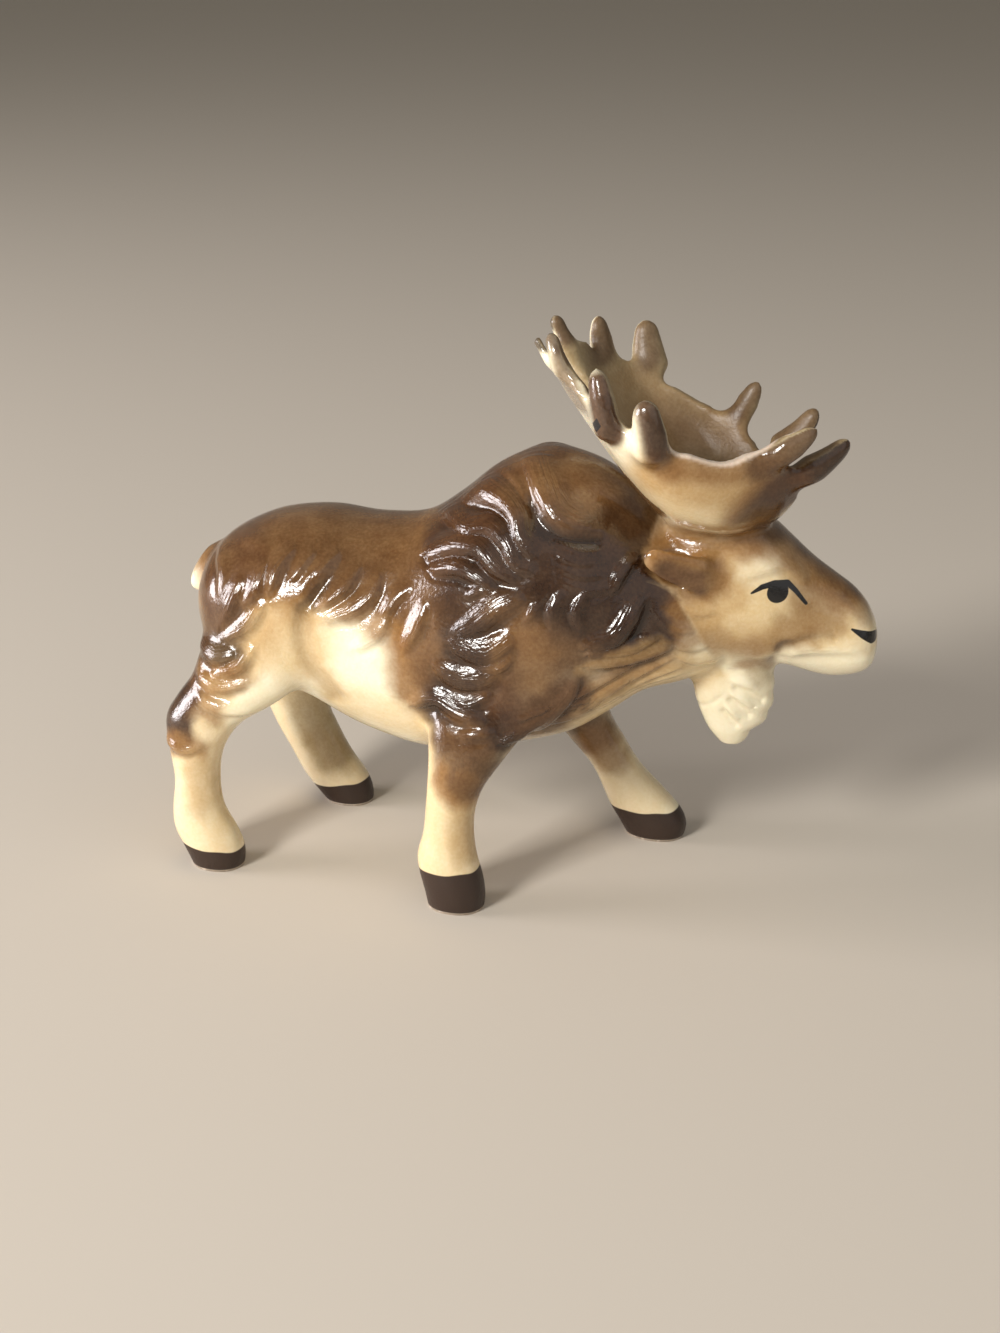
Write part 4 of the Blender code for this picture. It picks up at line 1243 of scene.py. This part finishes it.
def palm(paint: Paint, path: tuple, reach: float, soft: float, strength: float) -> Spray:
    """A spray on the antlers' outer faces."""
    return Spray(paint, path, reach, soft, strength, Zone.ANTLER_OUTSIDE)


def bowl(paint: Paint, path: tuple, reach: float, soft: float, strength: float) -> Spray:
    """A spray on the antlers' inner faces."""
    return Spray(paint, path, reach, soft, strength, Zone.ANTLER_INSIDE)


@dataclass
class Airbrush:
    """Soft sprays of colour laid over the ivory body, painted shade in the carved grooves and painted light
    on the lock crests, and the brush work in ink.
    """

    part: float
    shift: np.ndarray
    sprays: tuple[Spray, ...] = (
        # Legs, belly, haunch and the pale edge of the chest, with painted shade along the lower belly and in
        # the crease before the thigh
        wash(Paint.CREAM, ((-28, 28), (-29, 14), (-29, 2)), 4.0, 3.0, 0.62),
        wash(Paint.CREAM, ((8, 24), (8, 12), (8, 2)), 4.0, 3.0, 0.74),
        wash(Paint.CREAM, ((24, 14), (28, 6)), 4.0, 3.0, 0.55),
        wash(Paint.CREAM, ((-20, 6), (-14, 2)), 4.0, 3.0, 0.50),
        # Painted shade: a darker cream along the lower belly, where the belly turns away from the light
        wash(Paint.CREAM, ((-8, 26), (0, 24.6), (6, 26)), 1.4, 3.4, 0.55),
        wash(Paint.CREAM, ((-26, 30), (-19, 36), (-14, 34)), 3.0, 5.0, 0.75),
        wash(Paint.TAN, ((-27, 33), (-22, 33), (-17, 39), (-14, 40)), 2.2, 4.4, 0.70),
        # Painted shade: tan laid along the carved crease between the flank and the thigh
        wash(Paint.TAN, ((-13, 40), (-13, 36), (-12, 31), (-9, 27)), 0.6, 2.6, 0.50),
        wash(Paint.CREAM, ((16, 22), (24, 26), (32, 31), (38, 33)), 2.0, 4.0, 0.80),
        wash(Paint.TAN, ((18, 25.5), (24, 28.5), (30, 33), (36, 36)), 0.9, 2.4, 0.60),
        wash(Paint.GOLDEN, ((20, 28.6), (27, 32.2), (33, 35.8)), 1.0, 2.4, 0.66),
        # Back, flank and rump
        wash(Paint.GOLDEN, ((-28, 42), (-20, 45), (-10, 46), (0, 46), (6, 50)), 4.6, 4.0, 0.97),
        wash(Paint.GOLDEN, ((2, 44), (4, 36), (4, 31)), 3.0, 3.6, 0.94),
        wash(Paint.GOLDEN, ((-8, 41), (-4, 40), (0, 38), (3, 35)), 1.8, 3.0, 0.85),
        wash(Paint.BROWN, ((-28, 43), (-20, 46.5), (-15, 47), (-8, 47), (0, 48)), 2.8, 4.4, 0.78),
        wash(Paint.BROWN, ((-16, 43.6), (-8, 42.6), (0, 43), (5, 46)), 1.8, 3.0, 0.72),
        wash(Paint.BROWN, ((-26, 41), (-24, 36)), 2.2, 2.8, 0.88),
        wash(Paint.RUSSET, ((-25, 46.5), (-21, 44), (-20, 41)), 1.0, 2.2, 0.62),
        wash(Paint.RUSSET, ((-27.5, 40), (-25.5, 35)), 1.0, 2.0, 0.66),
        wash(Paint.RUSSET, ((-22.5, 41), (-22, 37)), 1.0, 2.2, 0.55),
        wash(Paint.BROWN, ((-9, 44), (-5, 42), (0, 41)), 1.4, 2.6, 0.70),
        wash(Paint.BROWN, ((4, 44), (5, 38), (5, 33)), 1.6, 3.0, 0.75),
        # Hump, shoulder, neck and chest
        wash(Paint.BROWN, ((6, 48), (10, 44), (12, 40), (12, 34), (10, 28)), 3.8, 3.6, 0.96),
        wash(Paint.GOLDEN, ((7, 53), (14, 58), (22, 57), (28, 53), (31, 51)), 5.0, 4.0, 0.97),
        wash(Paint.BROWN, ((7, 53), (14, 58), (22, 57), (28, 53), (31, 51)), 5.0, 4.0, 0.70),
        wash(Paint.BROWN, ((14, 50), (22, 46), (30, 44)), 6.4, 4.0, 0.97),
        wash(Paint.BROWN, ((14, 40), (18, 36), (20, 32), (17, 29)), 5.0, 2.8, 0.94),
        wash(Paint.BROWN, ((22, 40), (28, 38), (32, 39)), 2.8, 2.6, 0.92),
        wash(Paint.RUSSET, ((8, 56), (12, 60), (18, 61)), 0.8, 2.6, 0.60),
        wash(Paint.GOLDEN, ((17.6, 38.6), (19.4, 36), (19.6, 33)), 0.6, 3.2, 0.45),
        wash(Paint.GOLDEN, ((13.6, 37.6), (14.2, 32.8)), 0.4, 2.0, 0.30),
        wash(Paint.CHOCOLATE, ((7, 49.5), (13, 49), (20, 48.5), (27, 46), (32, 43)), 3.0, 4.0, 0.92),
        wash(Paint.CHOCOLATE, ((22, 44), (28, 41), (33, 41)), 2.0, 3.0, 0.86),
        wash(Paint.CHOCOLATE, ((27, 52), (31, 48)), 1.8, 3.0, 0.74),
        wash(Paint.CHOCOLATE, ((8, 46), (9, 42), (10.5, 38)), 1.8, 3.0, 0.76),
        wash(Paint.RUSSET, ((10, 54), (6, 51), (5, 47)), 1.6, 3.0, 0.66),
        wash(Paint.CHOCOLATE, ((10.5, 37), (9.5, 32), (9, 28)), 1.8, 3.2, 0.80),
        wash(Paint.CHOCOLATE, ((6.5, 28), (11, 25.8), (15, 26)), 1.8, 2.6, 0.86),
        wash(Paint.RUSSET, ((15, 30.4), (18, 28), (21, 29), (23, 31)), 1.2, 2.6, 0.66),
        wash(Paint.TAN, ((25, 34.6), (29, 36.2), (34, 38)), 0.3, 1.4, 0.40),
        wash(Paint.GOLDEN, ((36.6, 43.0), (37.4, 40.6), (37.8, 38.8)), 0.9, 2.0, 0.74),
        # The darker tops and joints of the legs, most of them on one side alone
        wash(Paint.CHOCOLATE, ((10, 25.6), (12, 22.6)), 2.6, 2.8, 0.80, -1),
        wash(Paint.BROWN, ((9.8, 24), (10.8, 20)), 2.8, 2.4, 0.85, -1),
        wash(Paint.GOLDEN, ((8.4, 18.6), (10.8, 17.2)), 1.6, 1.8, 0.85, -1),
        wash(Paint.BROWN, ((9.8, 18.8), (12.0, 17.8)), 0.7, 1.5, 0.75, -1),
        wash(Paint.TAN, ((10.5, 14), (11.0, 8.6)), 0.7, 2.0, 0.62, -1),
        wash(Paint.BROWN, ((14, 24), (18, 20), (21, 16)), 2.8, 2.8, 0.85, 1),
        wash(Paint.CHOCOLATE, ((16, 22), (20, 17)), 1.0, 2.4, 0.66, 1),
        wash(Paint.GOLDEN, ((22, 15), (24.5, 12)), 1.4, 2.2, 0.66, 1),
        wash(Paint.CHOCOLATE, ((-27, 31.2), (-23.5, 30.8)), 1.5, 2.2, 0.88),
        wash(Paint.RUSSET, ((-28.6, 34), (-28, 28)), 1.0, 2.0, 0.76),
        wash(Paint.GOLDEN, ((-26, 27.5), (-22, 28.2)), 1.2, 2.2, 0.72),
        wash(Paint.GOLDEN, ((-29, 25.4), (-25.5, 23.6)), 1.1, 2.2, 0.72, -1),
        wash(Paint.RUSSET, ((-30.6, 26.0), (-31.0, 20.6)), 2.2, 2.2, 0.94, -1),
        wash(Paint.CHOCOLATE, ((-31.6, 24), (-30.8, 20)), 1.3, 2.0, 0.80, -1),
        wash(Paint.GOLDEN, ((-31.5, 17.8), (-27.6, 17.8)), 0.9, 1.8, 0.75, -1),
        wash(Paint.TAN, ((-28, 16), (-27.4, 9)), 0.6, 2.2, 0.50, -1),
        wash(Paint.GOLDEN, ((-28, 24), (-27.4, 19)), 1.8, 2.8, 0.65, 1),
        # Partly the far hind leg's own olive tone, partly painted shade on its inner face
        wash(Paint.OLIVE, ((-22, 20), (-20, 13), (-17, 8)), 1.6, 3.0, 0.72, 1),
        # Face, ears and bell
        face(Paint.CREAM, ((2, 46), (10, 44), (18, 42)), 5.0, 4.0, 0.85),
        face(Paint.TAN, ((8.6, 38.0), (13, 38.2), (16.6, 40.2)), 1.0, 3.4, 0.62),
        face(Paint.GOLDEN, ((10.8, 37.6), (14.0, 38.4), (16.8, 40.0)), 0.3, 2.2, 0.40),
        face(Paint.TAN, ((4.4, 42), (7, 45), (8, 50)), 0.9, 3.0, 0.60),
        face(Paint.TAN, ((6.6, 49.8), (9.6, 50.6)), 0.9, 2.2, 0.55),
        face(Paint.GOLDEN, ((14.4, 41.4), (16.6, 42.4)), 0.5, 2.2, 0.45),
        face(Paint.GOLDEN, ((0.0, 42.4), (1.2, 39.6), (2.0, 37.2)), 1.4, 2.4, 0.72),
        face(Paint.TAN, ((3.0, 41.0), (4.0, 36.4)), 1.6, 2.6, 0.62),
        face(Paint.IVORY, ((9.4, 48.0), (12, 49.0)), 0.6, 2.4, 0.50),
        face(Paint.IVORY, ((15.5, 35.2), (20, 35.2), (25.4, 35.4)), 1.3, 1.6, 0.95),
        face(Paint.IVORY, ((22, 37.2), (25, 36.8)), 0.8, 1.6, 0.70),
        face(Paint.CREAM, ((22, 39.0), (25.6, 38.6)), 1.0, 2.0, 0.50),
        face(Paint.GOLDEN, ((16.6, 44.6), (19.0, 43.6), (20.2, 41.0)), 1.0, 2.6, 0.62),
        face(Paint.GOLDEN, ((14.6, 37.4), (18, 39.0)), 0.5, 1.8, 0.50),
        face(Paint.GOLDEN, ((5.4, 38.4), (8, 37.2), (10.4, 36.8)), 0.5, 2.2, 0.42),
        face(Paint.GOLDEN, ((-2, 51.6), (1.4, 51.4), (5, 51.3), (9, 52)), 1.0, 2.2, 0.80),
        face(Paint.BROWN, ((1, 51.2), (7, 51.6)), 0.3, 1.6, 0.34),
        face(Paint.GOLDEN, ((10, 53.6), (15, 50.9), (19, 47.6), (22.8, 44.8)), 1.7, 3.0, 0.88),
        face(Paint.GOLDEN, ((22.6, 44.6), (25.4, 41.6)), 0.5, 1.9, 0.55),
        face(Paint.BROWN, ((11, 54.0), (16, 51.3), (20, 48.0), (23.8, 44.9)), 0.9, 2.1, 0.92),
        face(Paint.GOLDEN, ((-3, 48.8), (1.2, 48.0), (3.8, 46.6)), 2.0, 2.2, 0.90),
        face(Paint.RUSSET, ((-1.2, 47.8), (2.4, 46.8)), 0.7, 2.4, 0.84),
        face(Paint.TAN, ((1.9, 32.8), (2.8, 30.8)), 0.7, 2.0, 0.42),
        # Painted shade under the jaw, where the bell meets it
        face(Paint.OLIVE, ((10.6, 34.0), (12.2, 31.8)), 0.6, 1.8, 0.42),
        face(Paint.GOLDEN, ((8.6, 34.0), (12.6, 34.2)), 0.4, 1.3, 0.60),
        # The antlers' outer faces and tines
        palm(Paint.CREAM, ((-2, 58), (6, 56), (12, 60)), 3.0, 5.0, 0.70),
        palm(Paint.TAN, ((-3.4, 62.4), (0, 61.4), (6, 60.4), (11, 61)), 1.2, 3.8, 0.80),
        palm(Paint.GOLDEN, ((-2.4, 64.0), (4, 63.0), (9, 63)), 0.7, 2.4, 0.84),
        palm(Paint.GOLDEN, ((7.8, 55.4), (9.8, 58.6), (12, 61.5)), 1.3, 2.8, 0.88),
        palm(Paint.BROWN, ((9.4, 55.4), (11.4, 58.6), (14, 62.0)), 1.3, 2.4, 0.92),
        palm(Paint.BROWN, ((9.4, 63.2), (12.4, 65.2), (15.8, 67.6)), 1.2, 1.5, 0.94),
        palm(Paint.BROWN, ((10.6, 56.4), (14.2, 59.6)), 1.4, 1.6, 0.92),
        palm(Paint.RUSSET, ((10.8, 58.2), (12.8, 61.4)), 0.5, 2.0, 0.56),
        palm(Paint.RUSSET, ((12.5, 59.2), (16, 61.6), (20.4, 65.8)), 1.6, 1.4, 0.94),
        palm(Paint.CHOCOLATE, ((17.0, 62.4), (20.4, 65.8)), 0.9, 1.6, 0.85),
        palm(Paint.GOLDEN, ((-2.4, 64.0), (-1.4, 63.0)), 0.8, 2.0, 0.66),
        palm(Paint.RUSSET, ((-3.0, 66.4), (-3.5, 68.6), (-4.2, 70.8)), 1.2, 1.7, 0.95),
        palm(Paint.CHOCOLATE, ((-3.2, 67.0), (-3.9, 69.8)), 0.5, 1.5, 0.62),
        palm(Paint.RUSSET, ((-9.0, 67.0), (-9.6, 69.4), (-10.4, 72.4)), 1.3, 1.2, 0.97),
        palm(Paint.CHOCOLATE, ((-8.9, 67.6), (-9.4, 70.6)), 0.5, 1.3, 0.60),
        palm(Paint.BROWN, ((-15.4, 74.6), (-14.4, 71.4), (-13.0, 68.6)), 0.7, 1.3, 0.80),
        palm(Paint.CHOCOLATE, ((-19.2, 76.4), (-18.2, 75.4)), 0.7, 1.0, 0.90),
        palm(Paint.RUSSET, ((-17.6, 77.6), (-15.8, 76.0)), 0.5, 1.0, 0.85),
        palm(Paint.GOLDEN, ((0, 54.6), (5, 54.2), (10, 54.8)), 0.3, 0.9, 0.55),
        # The bowl between the antlers
        bowl(Paint.OLIVE, ((-14, 71), (0, 64), (10, 60)), 12.0, 4.0, 0.85),
        bowl(Paint.BROWN, ((-4, 60), (5, 58), (10, 58)), 1.6, 5.0, 0.60),
        bowl(Paint.GOLDEN, ((-8, 66), (0, 62), (6, 61)), 1.6, 3.4, 0.40),
        bowl(Paint.RUSSET, ((-12.4, 76.4), (-11.0, 71.0)), 0.9, 1.8, 0.75),
        bowl(Paint.RUSSET, ((-6.0, 74.8), (-5.0, 69.6)), 0.9, 1.9, 0.70),
        bowl(Paint.RUSSET, ((9.8, 67.8), (7.2, 64.2)), 0.9, 1.8, 0.75),
        bowl(Paint.RUSSET, ((17.2, 65.6), (13.6, 61.4)), 0.9, 1.8, 0.72),
        bowl(Paint.RUSSET, ((-18.0, 77.2), (-15.6, 74.4)), 0.8, 1.6, 0.75),
    )
    side_blend: float = 3.0
    sway: float = 0.28
    along_waves: tuple[Wave, ...] = (Wave(1.0, (1.1, 0.5, 0.7)), Wave(0.6, (-1.7, 0.0, 2.3), 1.0))
    up_waves: tuple[Wave, ...] = (Wave(1.0, (-0.9, 0.0, 1.3), 2.0), Wave(0.6, (2.1, 0.4, 1.9)))
    # How far painted shade darkens the carved grooves, and painted light lightens the lock crests towards tan
    groove_painted_shade: float = 0.42
    crest_painted_light: float = 0.06
    groove_depth: Pair = (0.02, 0.26)
    crest_height: Pair = (0.25, 0.85)
    pale_red: Pair = (0.30, 0.75)
    dark_red: Pair = (0.05, 0.20)
    zoning: Zoning = field(default_factory=Zoning)
    rim: WipedRim = field(default_factory=WipedRim)
    ink: InkWork = field(default_factory=InkWork)
    hooves: HoofPaint = field(default_factory=HoofPaint)

    def form_points(self, piece: bpy.types.Object) -> tuple[np.ndarray, np.ndarray, np.ndarray]:
        """The piece's points in parts and their normals.

        Args:
            piece: The finished skin.

        Returns:
            The points in the figure's frame, in the head's, and the normals in the head's.
        """
        body = read_rows(piece.data.vertices, "co") / self.part - self.shift
        normals = read_rows(piece.data.vertex_normals, "vector")
        return body, head_frame(body), head_frame(normals + (HEAD_PIVOT_X, 0.0, 0.0))

    def wander(self, points: np.ndarray) -> np.ndarray:
        """Shift the places at which a spray is read, so that its edge is not ruled."""
        along = sum(wave.at(points) for wave in self.along_waves)
        up = sum(wave.at(points) for wave in self.up_waves)
        return points[:, (0, 2)] + self.sway * np.column_stack([along, up])

    def colours(self, body: np.ndarray, head: np.ndarray, normals: np.ndarray,
                relief: np.ndarray) -> np.ndarray:
        """Lay every spray over the ivory, with painted shade in the carved grooves and painted light on the
        crests of the locks.
            normals: The normals in the head's frame.
            relief: How far the carving raised each point.

        Returns:
            A linear colour for each point.
        """
        shares = self.zoning.shares(head, normals)
        ruled = head[:, (0, 2)]
        spots = {Zone.BODY: self.wander(body), Zone.HEAD: self.wander(head),
                 Zone.ANTLER_OUTSIDE: ruled, Zone.ANTLER_INSIDE: ruled}
        colour = np.tile(np.array(Paint.IVORY.value), (len(body), 1))
        for spray in self.sprays:
            away = stroke_distance(spots[spray.zone], spray.path)
            weight = (1.0 - ramp(away, spray.reach, spray.reach + spray.soft)) * spray.strength
            weight = weight * shares[spray.zone]
            if spray.side:
                weight = weight * ramp(body[:, 1] * spray.side, 0.0, self.side_blend)
            colour += (np.array(spray.paint.value) - colour) * weight[:, None]
        red = colour[:, 0]
        # Painted shade in the carved grooves on all but pale paint, and painted light on the crests of dark
        # locks
        dark = self.groove_painted_shade * ramp(-relief, *self.groove_depth) * (1.0 - ramp(red, *self.pale_red))
        light = self.crest_painted_light * ramp(relief, *self.crest_height) * ramp(red, *self.dark_red)
        colour *= (1.0 - dark)[:, None]
        colour += (np.array(Paint.TAN.value) - colour) * light[:, None]
        return self.rim.wiped(colour, head)

    def refine(self, piece: bpy.types.Object) -> None:
        """Split the faces along the ink and the hooves' border, so that both stay crisp."""
        activate(piece)
        body, head, _ = self.form_points(piece)
        near = ((np.abs(self.ink.distance(head)) < self.ink.margin)
                | (np.abs(self.hooves.distance(body)) < self.hooves.margin))
        chosen = np.array([near[list(polygon.vertices)].any() for polygon in piece.data.polygons])
        bpy.ops.object.mode_set(mode="EDIT")
        bpy.ops.mesh.select_all(action="DESELECT")
        bpy.ops.mesh.select_mode(type="FACE")
        bpy.ops.object.mode_set(mode="OBJECT")
        piece.data.polygons.foreach_set("select", chosen)
        bpy.ops.object.mode_set(mode="EDIT")
        bpy.ops.mesh.subdivide(number_cuts=2)
        bpy.ops.mesh.select_all(action="SELECT")
        bpy.ops.mesh.quads_convert_to_tris()
        bpy.ops.object.mode_set(mode="OBJECT")

    def paint(self, piece: bpy.types.Object) -> None:
        """Store the colours, the edges of the ink and hooves and the bowl on the piece's points."""
        self.refine(piece)
        mesh = piece.data
        body, head, normals = self.form_points(piece)
        relief = np.empty(len(mesh.vertices))
        mesh.attributes["relief"].data.foreach_get("value", relief)
        colour = self.colours(body, head, normals, relief)
        layer = mesh.color_attributes.new("paint", "FLOAT_COLOR", "POINT")
        layer.data.foreach_set("color", np.column_stack([colour, np.ones(len(body))]).ravel())
        inside = self.zoning.shares(head, normals)[Zone.ANTLER_INSIDE]
        for name, values in (("ink", self.ink.distance(head)), ("hoof", self.hooves.distance(body)),
                             ("foot", body[:, 2]), ("satin", inside)):
            layer = mesh.attributes.new(name, "FLOAT", "POINT")
            layer.data.foreach_set("value", np.clip(values, -FAR, FAR))


class Bench:
    """A material's nodes, each added, set and wired in one call."""

    def __init__(self, name: str) -> None:
        """Start a material that holds one shader."""
        self.material = bpy.data.materials.new(name)
        self.material.use_nodes = True
        self.nodes = self.material.node_tree.nodes
        self.links = self.material.node_tree.links
        self.shader = self.nodes["Principled BSDF"]

    def feed(self, node: bpy.types.Node, inputs: dict[str | int, object]) -> None:
        """Wire the sockets among the inputs, and set the plain values."""
        for name, value in inputs.items():
            if isinstance(value, Socket):
                self.links.new(value, node.inputs[name])
            else:
                node.inputs[name].default_value = value

    def attribute(self, name: str, output: str = "Fac") -> Socket:
        """What the piece's points hold under a name."""
        node = self.nodes.new("ShaderNodeAttribute")
        node.attribute_name = name
        return node.outputs[output]

    def carry(self, value: Socket, source: Pair = (0.0, 1.0), target: Pair = (0.0, 1.0)) -> Socket:
        """Carry a value from one range over to another."""
        node = self.nodes.new("ShaderNodeMapRange")
        self.feed(node, {"Value": value, "From Min": source[0], "From Max": source[1],
                         "To Min": target[0], "To Max": target[1]})
        return node.outputs["Result"]

    def combine(self, operation: str, first: Socket, second: Socket) -> Socket:
        """Work one value out of two."""
        node = self.nodes.new("ShaderNodeMath")
        node.operation = operation
        self.feed(node, {0: first, 1: second})
        return node.outputs["Value"]

    def stretch(self, place: Socket, scales: Triple) -> Socket:
        """Scale a place along each of its axes."""
        node = self.nodes.new("ShaderNodeVectorMath")
        node.operation = "MULTIPLY"
        self.feed(node, {0: place, 1: scales})
        return node.outputs["Vector"]

    def noise(self, place: Socket, scale: float, detail: float) -> Socket:
        """Noise at a place."""
        node = self.nodes.new("ShaderNodeTexNoise")
        self.feed(node, {"Vector": place, "Scale": scale, "Detail": detail})
        return node.outputs["Fac"]

    def deepen(self, colour: Socket, amount: Socket) -> Socket:
        """Make a colour deeper where the amount is over 1, and paler below it."""
        node = self.nodes.new("ShaderNodeGamma")
        self.feed(node, {"Color": colour, "Gamma": amount})
        return node.outputs["Color"]

    def cover(self, mask: Socket, below: Socket, above: Triple) -> Socket:
        """Lay one plain colour over another through a mask."""
        node = self.nodes.new("ShaderNodeMix")
        node.data_type = "RGBA"
        self.feed(node, {"Factor": mask, "A": below, "B": (*above, 1.0)})
        return node.outputs["Result"]

    def bump(self, height: Socket, distance: float, below: Socket | None = None) -> Socket:
        """Raise the surface, on top of another bump if there is one."""
        node = self.nodes.new("ShaderNodeBump")
        self.feed(node, {"Height": height, "Strength": 1.0, "Distance": distance})
        if below:
            self.feed(node, {"Normal": below})
        return node.outputs["Normal"]


@dataclass(frozen=True)
class Grain:
    """Unevenness of the paint: its size in parts, its fineness and how far it deepens a colour."""

    size: float
    detail: float
    depth: float


@dataclass
class Glaze:
    """Clear glossy glaze over painted china, satin in the bowl and on the hooves, bare at the feet.

    Sizes, heights and edges are in parts.
    """

    part: float
    roughness: float = 0.20
    satin_roughness: float = 0.42
    coat: float = 0.30
    coat_roughness: float = 0.06
    glow: float = 0.10
    glow_reach: float = 1.2
    glow_colours: Triple = (1.0, 0.55, 0.30)
    grains: tuple[Grain, ...] = (Grain(0.45, 1.0, 0.06), Grain(3.0, 2.0, 0.08))
    grain_range: Pair = (0.3, 0.7)
    hoof_edge: Pair = (-0.05, 0.08)
    foot_edge: Pair = (0.22, 0.34)
    ink_edge: Pair = (-0.03, 0.06)
    ripple_size: float = 0.45
    ripple_detail: float = 2.0
    ripple_height: float = 0.040
    strand_width: float = 0.34
    strand_length: float = 3.2
    strand_change: float = 1.7
    strand_detail: float = 1.5
    strand_rise: Pair = (0.08, 0.40)
    strand_height: float = 0.15

    def masked(self, bench: Bench, name: str, edge: Pair) -> Socket:
        """A mask that falls from 1 to 0 across the edge of a painted patch."""
        return bench.carry(bench.attribute(name), edge, (1.0, 0.0))

    def noise(self, bench: Bench, size: float, detail: float) -> Socket:
        """Noise on the piece's own coordinates, its size in parts."""
        place = bench.nodes.new("ShaderNodeTexCoord").outputs["Object"]
        return bench.noise(place, 1.0 / (size * self.part), detail)

    def strand_lines(self, bench: Bench) -> Socket:
        """Fine lines of hair that run along each lock and fade out at its foot."""
        scales = (1.0 / self.strand_width, 1.0 / self.strand_length, self.strand_change)
        lines = bench.noise(bench.stretch(bench.attribute("combed", "Vector"), scales),
                            1.0, self.strand_detail)
        return bench.combine("MULTIPLY", lines, bench.carry(bench.attribute("relief"), self.strand_rise))

    def colour(self, bench: Bench, hoof: Socket) -> Socket:
        """The uneven paint, and over it the hooves, the bare feet and the ink.

        Args:
            bench: The material's nodes.
            hoof: The hooves' mask.

        Returns:
            The colour's socket.
        """
        colour = bench.attribute("paint", "Color")
        for grain in self.grains:
            deeper = (1.0 - grain.depth, 1.0 + grain.depth)
            amount = bench.carry(self.noise(bench, grain.size, grain.detail), self.grain_range, deeper)
            colour = bench.deepen(colour, amount)
        colour = bench.cover(hoof, colour, HOOF_COLOUR)
        colour = bench.cover(self.masked(bench, "foot", self.foot_edge), colour, BARE_CHINA)
        return bench.cover(self.masked(bench, "ink", self.ink_edge), colour, INK_COLOUR)

    def surface(self, bench: Bench) -> Socket:
        """The glaze's ripples, with the strands of hair on them."""
        ripples = self.noise(bench, self.ripple_size, self.ripple_detail)
        rippled = bench.bump(ripples, self.ripple_height * self.part)
        return bench.bump(self.strand_lines(bench), self.strand_height * self.part, rippled)

    def dress(self, piece: bpy.types.Object) -> None:
        """Give the piece its material."""
        bench = Bench("glazed_china")
        hoof = self.masked(bench, "hoof", self.hoof_edge)
        satin = bench.combine("MAXIMUM", hoof, bench.attribute("satin"))
        surface = self.surface(bench)
        bench.feed(bench.shader, {
            "Base Color": self.colour(bench, hoof),
            "Roughness": bench.carry(satin, target=(self.roughness, self.satin_roughness)),
            "Coat Weight": bench.carry(satin, target=(self.coat, 0.0)),
            "Coat Roughness": self.coat_roughness,
            "Subsurface Weight": self.glow,
            "Subsurface Radius": self.glow_colours,
            "Subsurface Scale": self.glow_reach * self.part,
            "Normal": surface,
            "Coat Normal": surface,
        })
        piece.data.materials.clear()
        piece.data.materials.append(bench.material)


@dataclass(frozen=True)
class Lamp:
    """A soft square light, in metres and watts."""

    name: str
    place: Triple
    size: float
    watts: float
    colour: Triple


@dataclass
class Studio:
    """A pale floor, soft light and the camera, in metres."""

    eye: Triple = (0.06166, -0.24662, 0.128)
    ahead: Triple = (-0.23405, 0.90209, -0.36258)
    roll: float = math.radians(1.426)
    lens: float = 54.1
    nearest: float = 0.01
    floor_size: float = 6.0
    floor_height: float = -0.00005
    floor_colour: Triple = (0.62, 0.56, 0.48)
    floor_roughness: float = 0.8
    lamps: tuple[Lamp, ...] = (
        Lamp("window", (-0.80, -0.22, 0.19), 0.34, 6.0, (1.0, 0.95, 0.97)),
        Lamp("key", (-0.36, -0.70, 0.43), 0.20, 7.5, (1.0, 0.97, 0.93)),
        Lamp("fill", (0.60, -0.50, 0.70), 1.6, 3.3, (0.97, 0.98, 1.0)),
    )
    lit: Triple = (0.0, 0.0, 0.04)
    air_colour: Triple = (0.82, 0.77, 0.69)
    air_strength: float = 0.25

    def floor(self) -> None:
        """Lay the floor."""
        bpy.ops.object.select_all(action="DESELECT")
        bpy.ops.mesh.primitive_plane_add(size=self.floor_size, location=(0, 0, self.floor_height))
        floor = bpy.context.active_object
        floor.name = "floor"
        bench = Bench("pale_floor")
        bench.feed(bench.shader, {"Base Color": (*self.floor_colour, 1.0), "Roughness": self.floor_roughness})
        floor.data.materials.append(bench.material)

    def light(self, lamp: Lamp) -> None:
        """Hang one soft light, facing the figure."""
        data = bpy.data.lights.new(lamp.name, "AREA")
        data.energy = lamp.watts
        data.size = lamp.size
        data.color = lamp.colour
        light = bpy.data.objects.new(lamp.name, data)
        bpy.context.scene.collection.objects.link(light)
        light.location = lamp.place
        light.rotation_mode = "QUATERNION"
        light.rotation_quaternion = (Vector(self.lit) - Vector(lamp.place)).to_track_quat("-Z", "Y")

    def air(self) -> None:
        """Fill the room with even light."""
        world = bpy.data.worlds.new("studio")
        world.use_nodes = True
        background = world.node_tree.nodes["Background"]
        background.inputs["Color"].default_value = (*self.air_colour, 1.0)
        background.inputs["Strength"].default_value = self.air_strength
        bpy.context.scene.world = world

    def camera(self) -> None:
        """Set the camera at the photograph's viewpoint."""
        data = bpy.data.cameras.new("camera")
        data.lens = self.lens
        data.clip_start = self.nearest
        camera = bpy.data.objects.new("camera", data)
        bpy.context.scene.collection.objects.link(camera)
        camera.location = self.eye
        camera.rotation_mode = "QUATERNION"
        look = Vector(self.ahead).to_track_quat("-Z", "Y")
        camera.rotation_quaternion = look @ Matrix.Rotation(self.roll, 4, "Z").to_quaternion()
        bpy.context.scene.camera = camera

    def build(self) -> None:
        """Set up the floor, the lights, the air and the camera."""
        self.floor()
        for lamp in self.lamps:
            self.light(lamp)
        self.air()
        bpy.context.scene.view_settings.view_transform = "Standard"
        self.camera()


def main() -> None:
    """Build the figure and the studio, and report them."""
    logging.basicConfig(level=logging.INFO, format="%(message)s")
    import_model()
    piece = Figurine().build()
    LOG.info("%s: %d triangles", piece.name, len(piece.data.polygons))
    Studio().build()


if __name__ == "__main__":
    main()
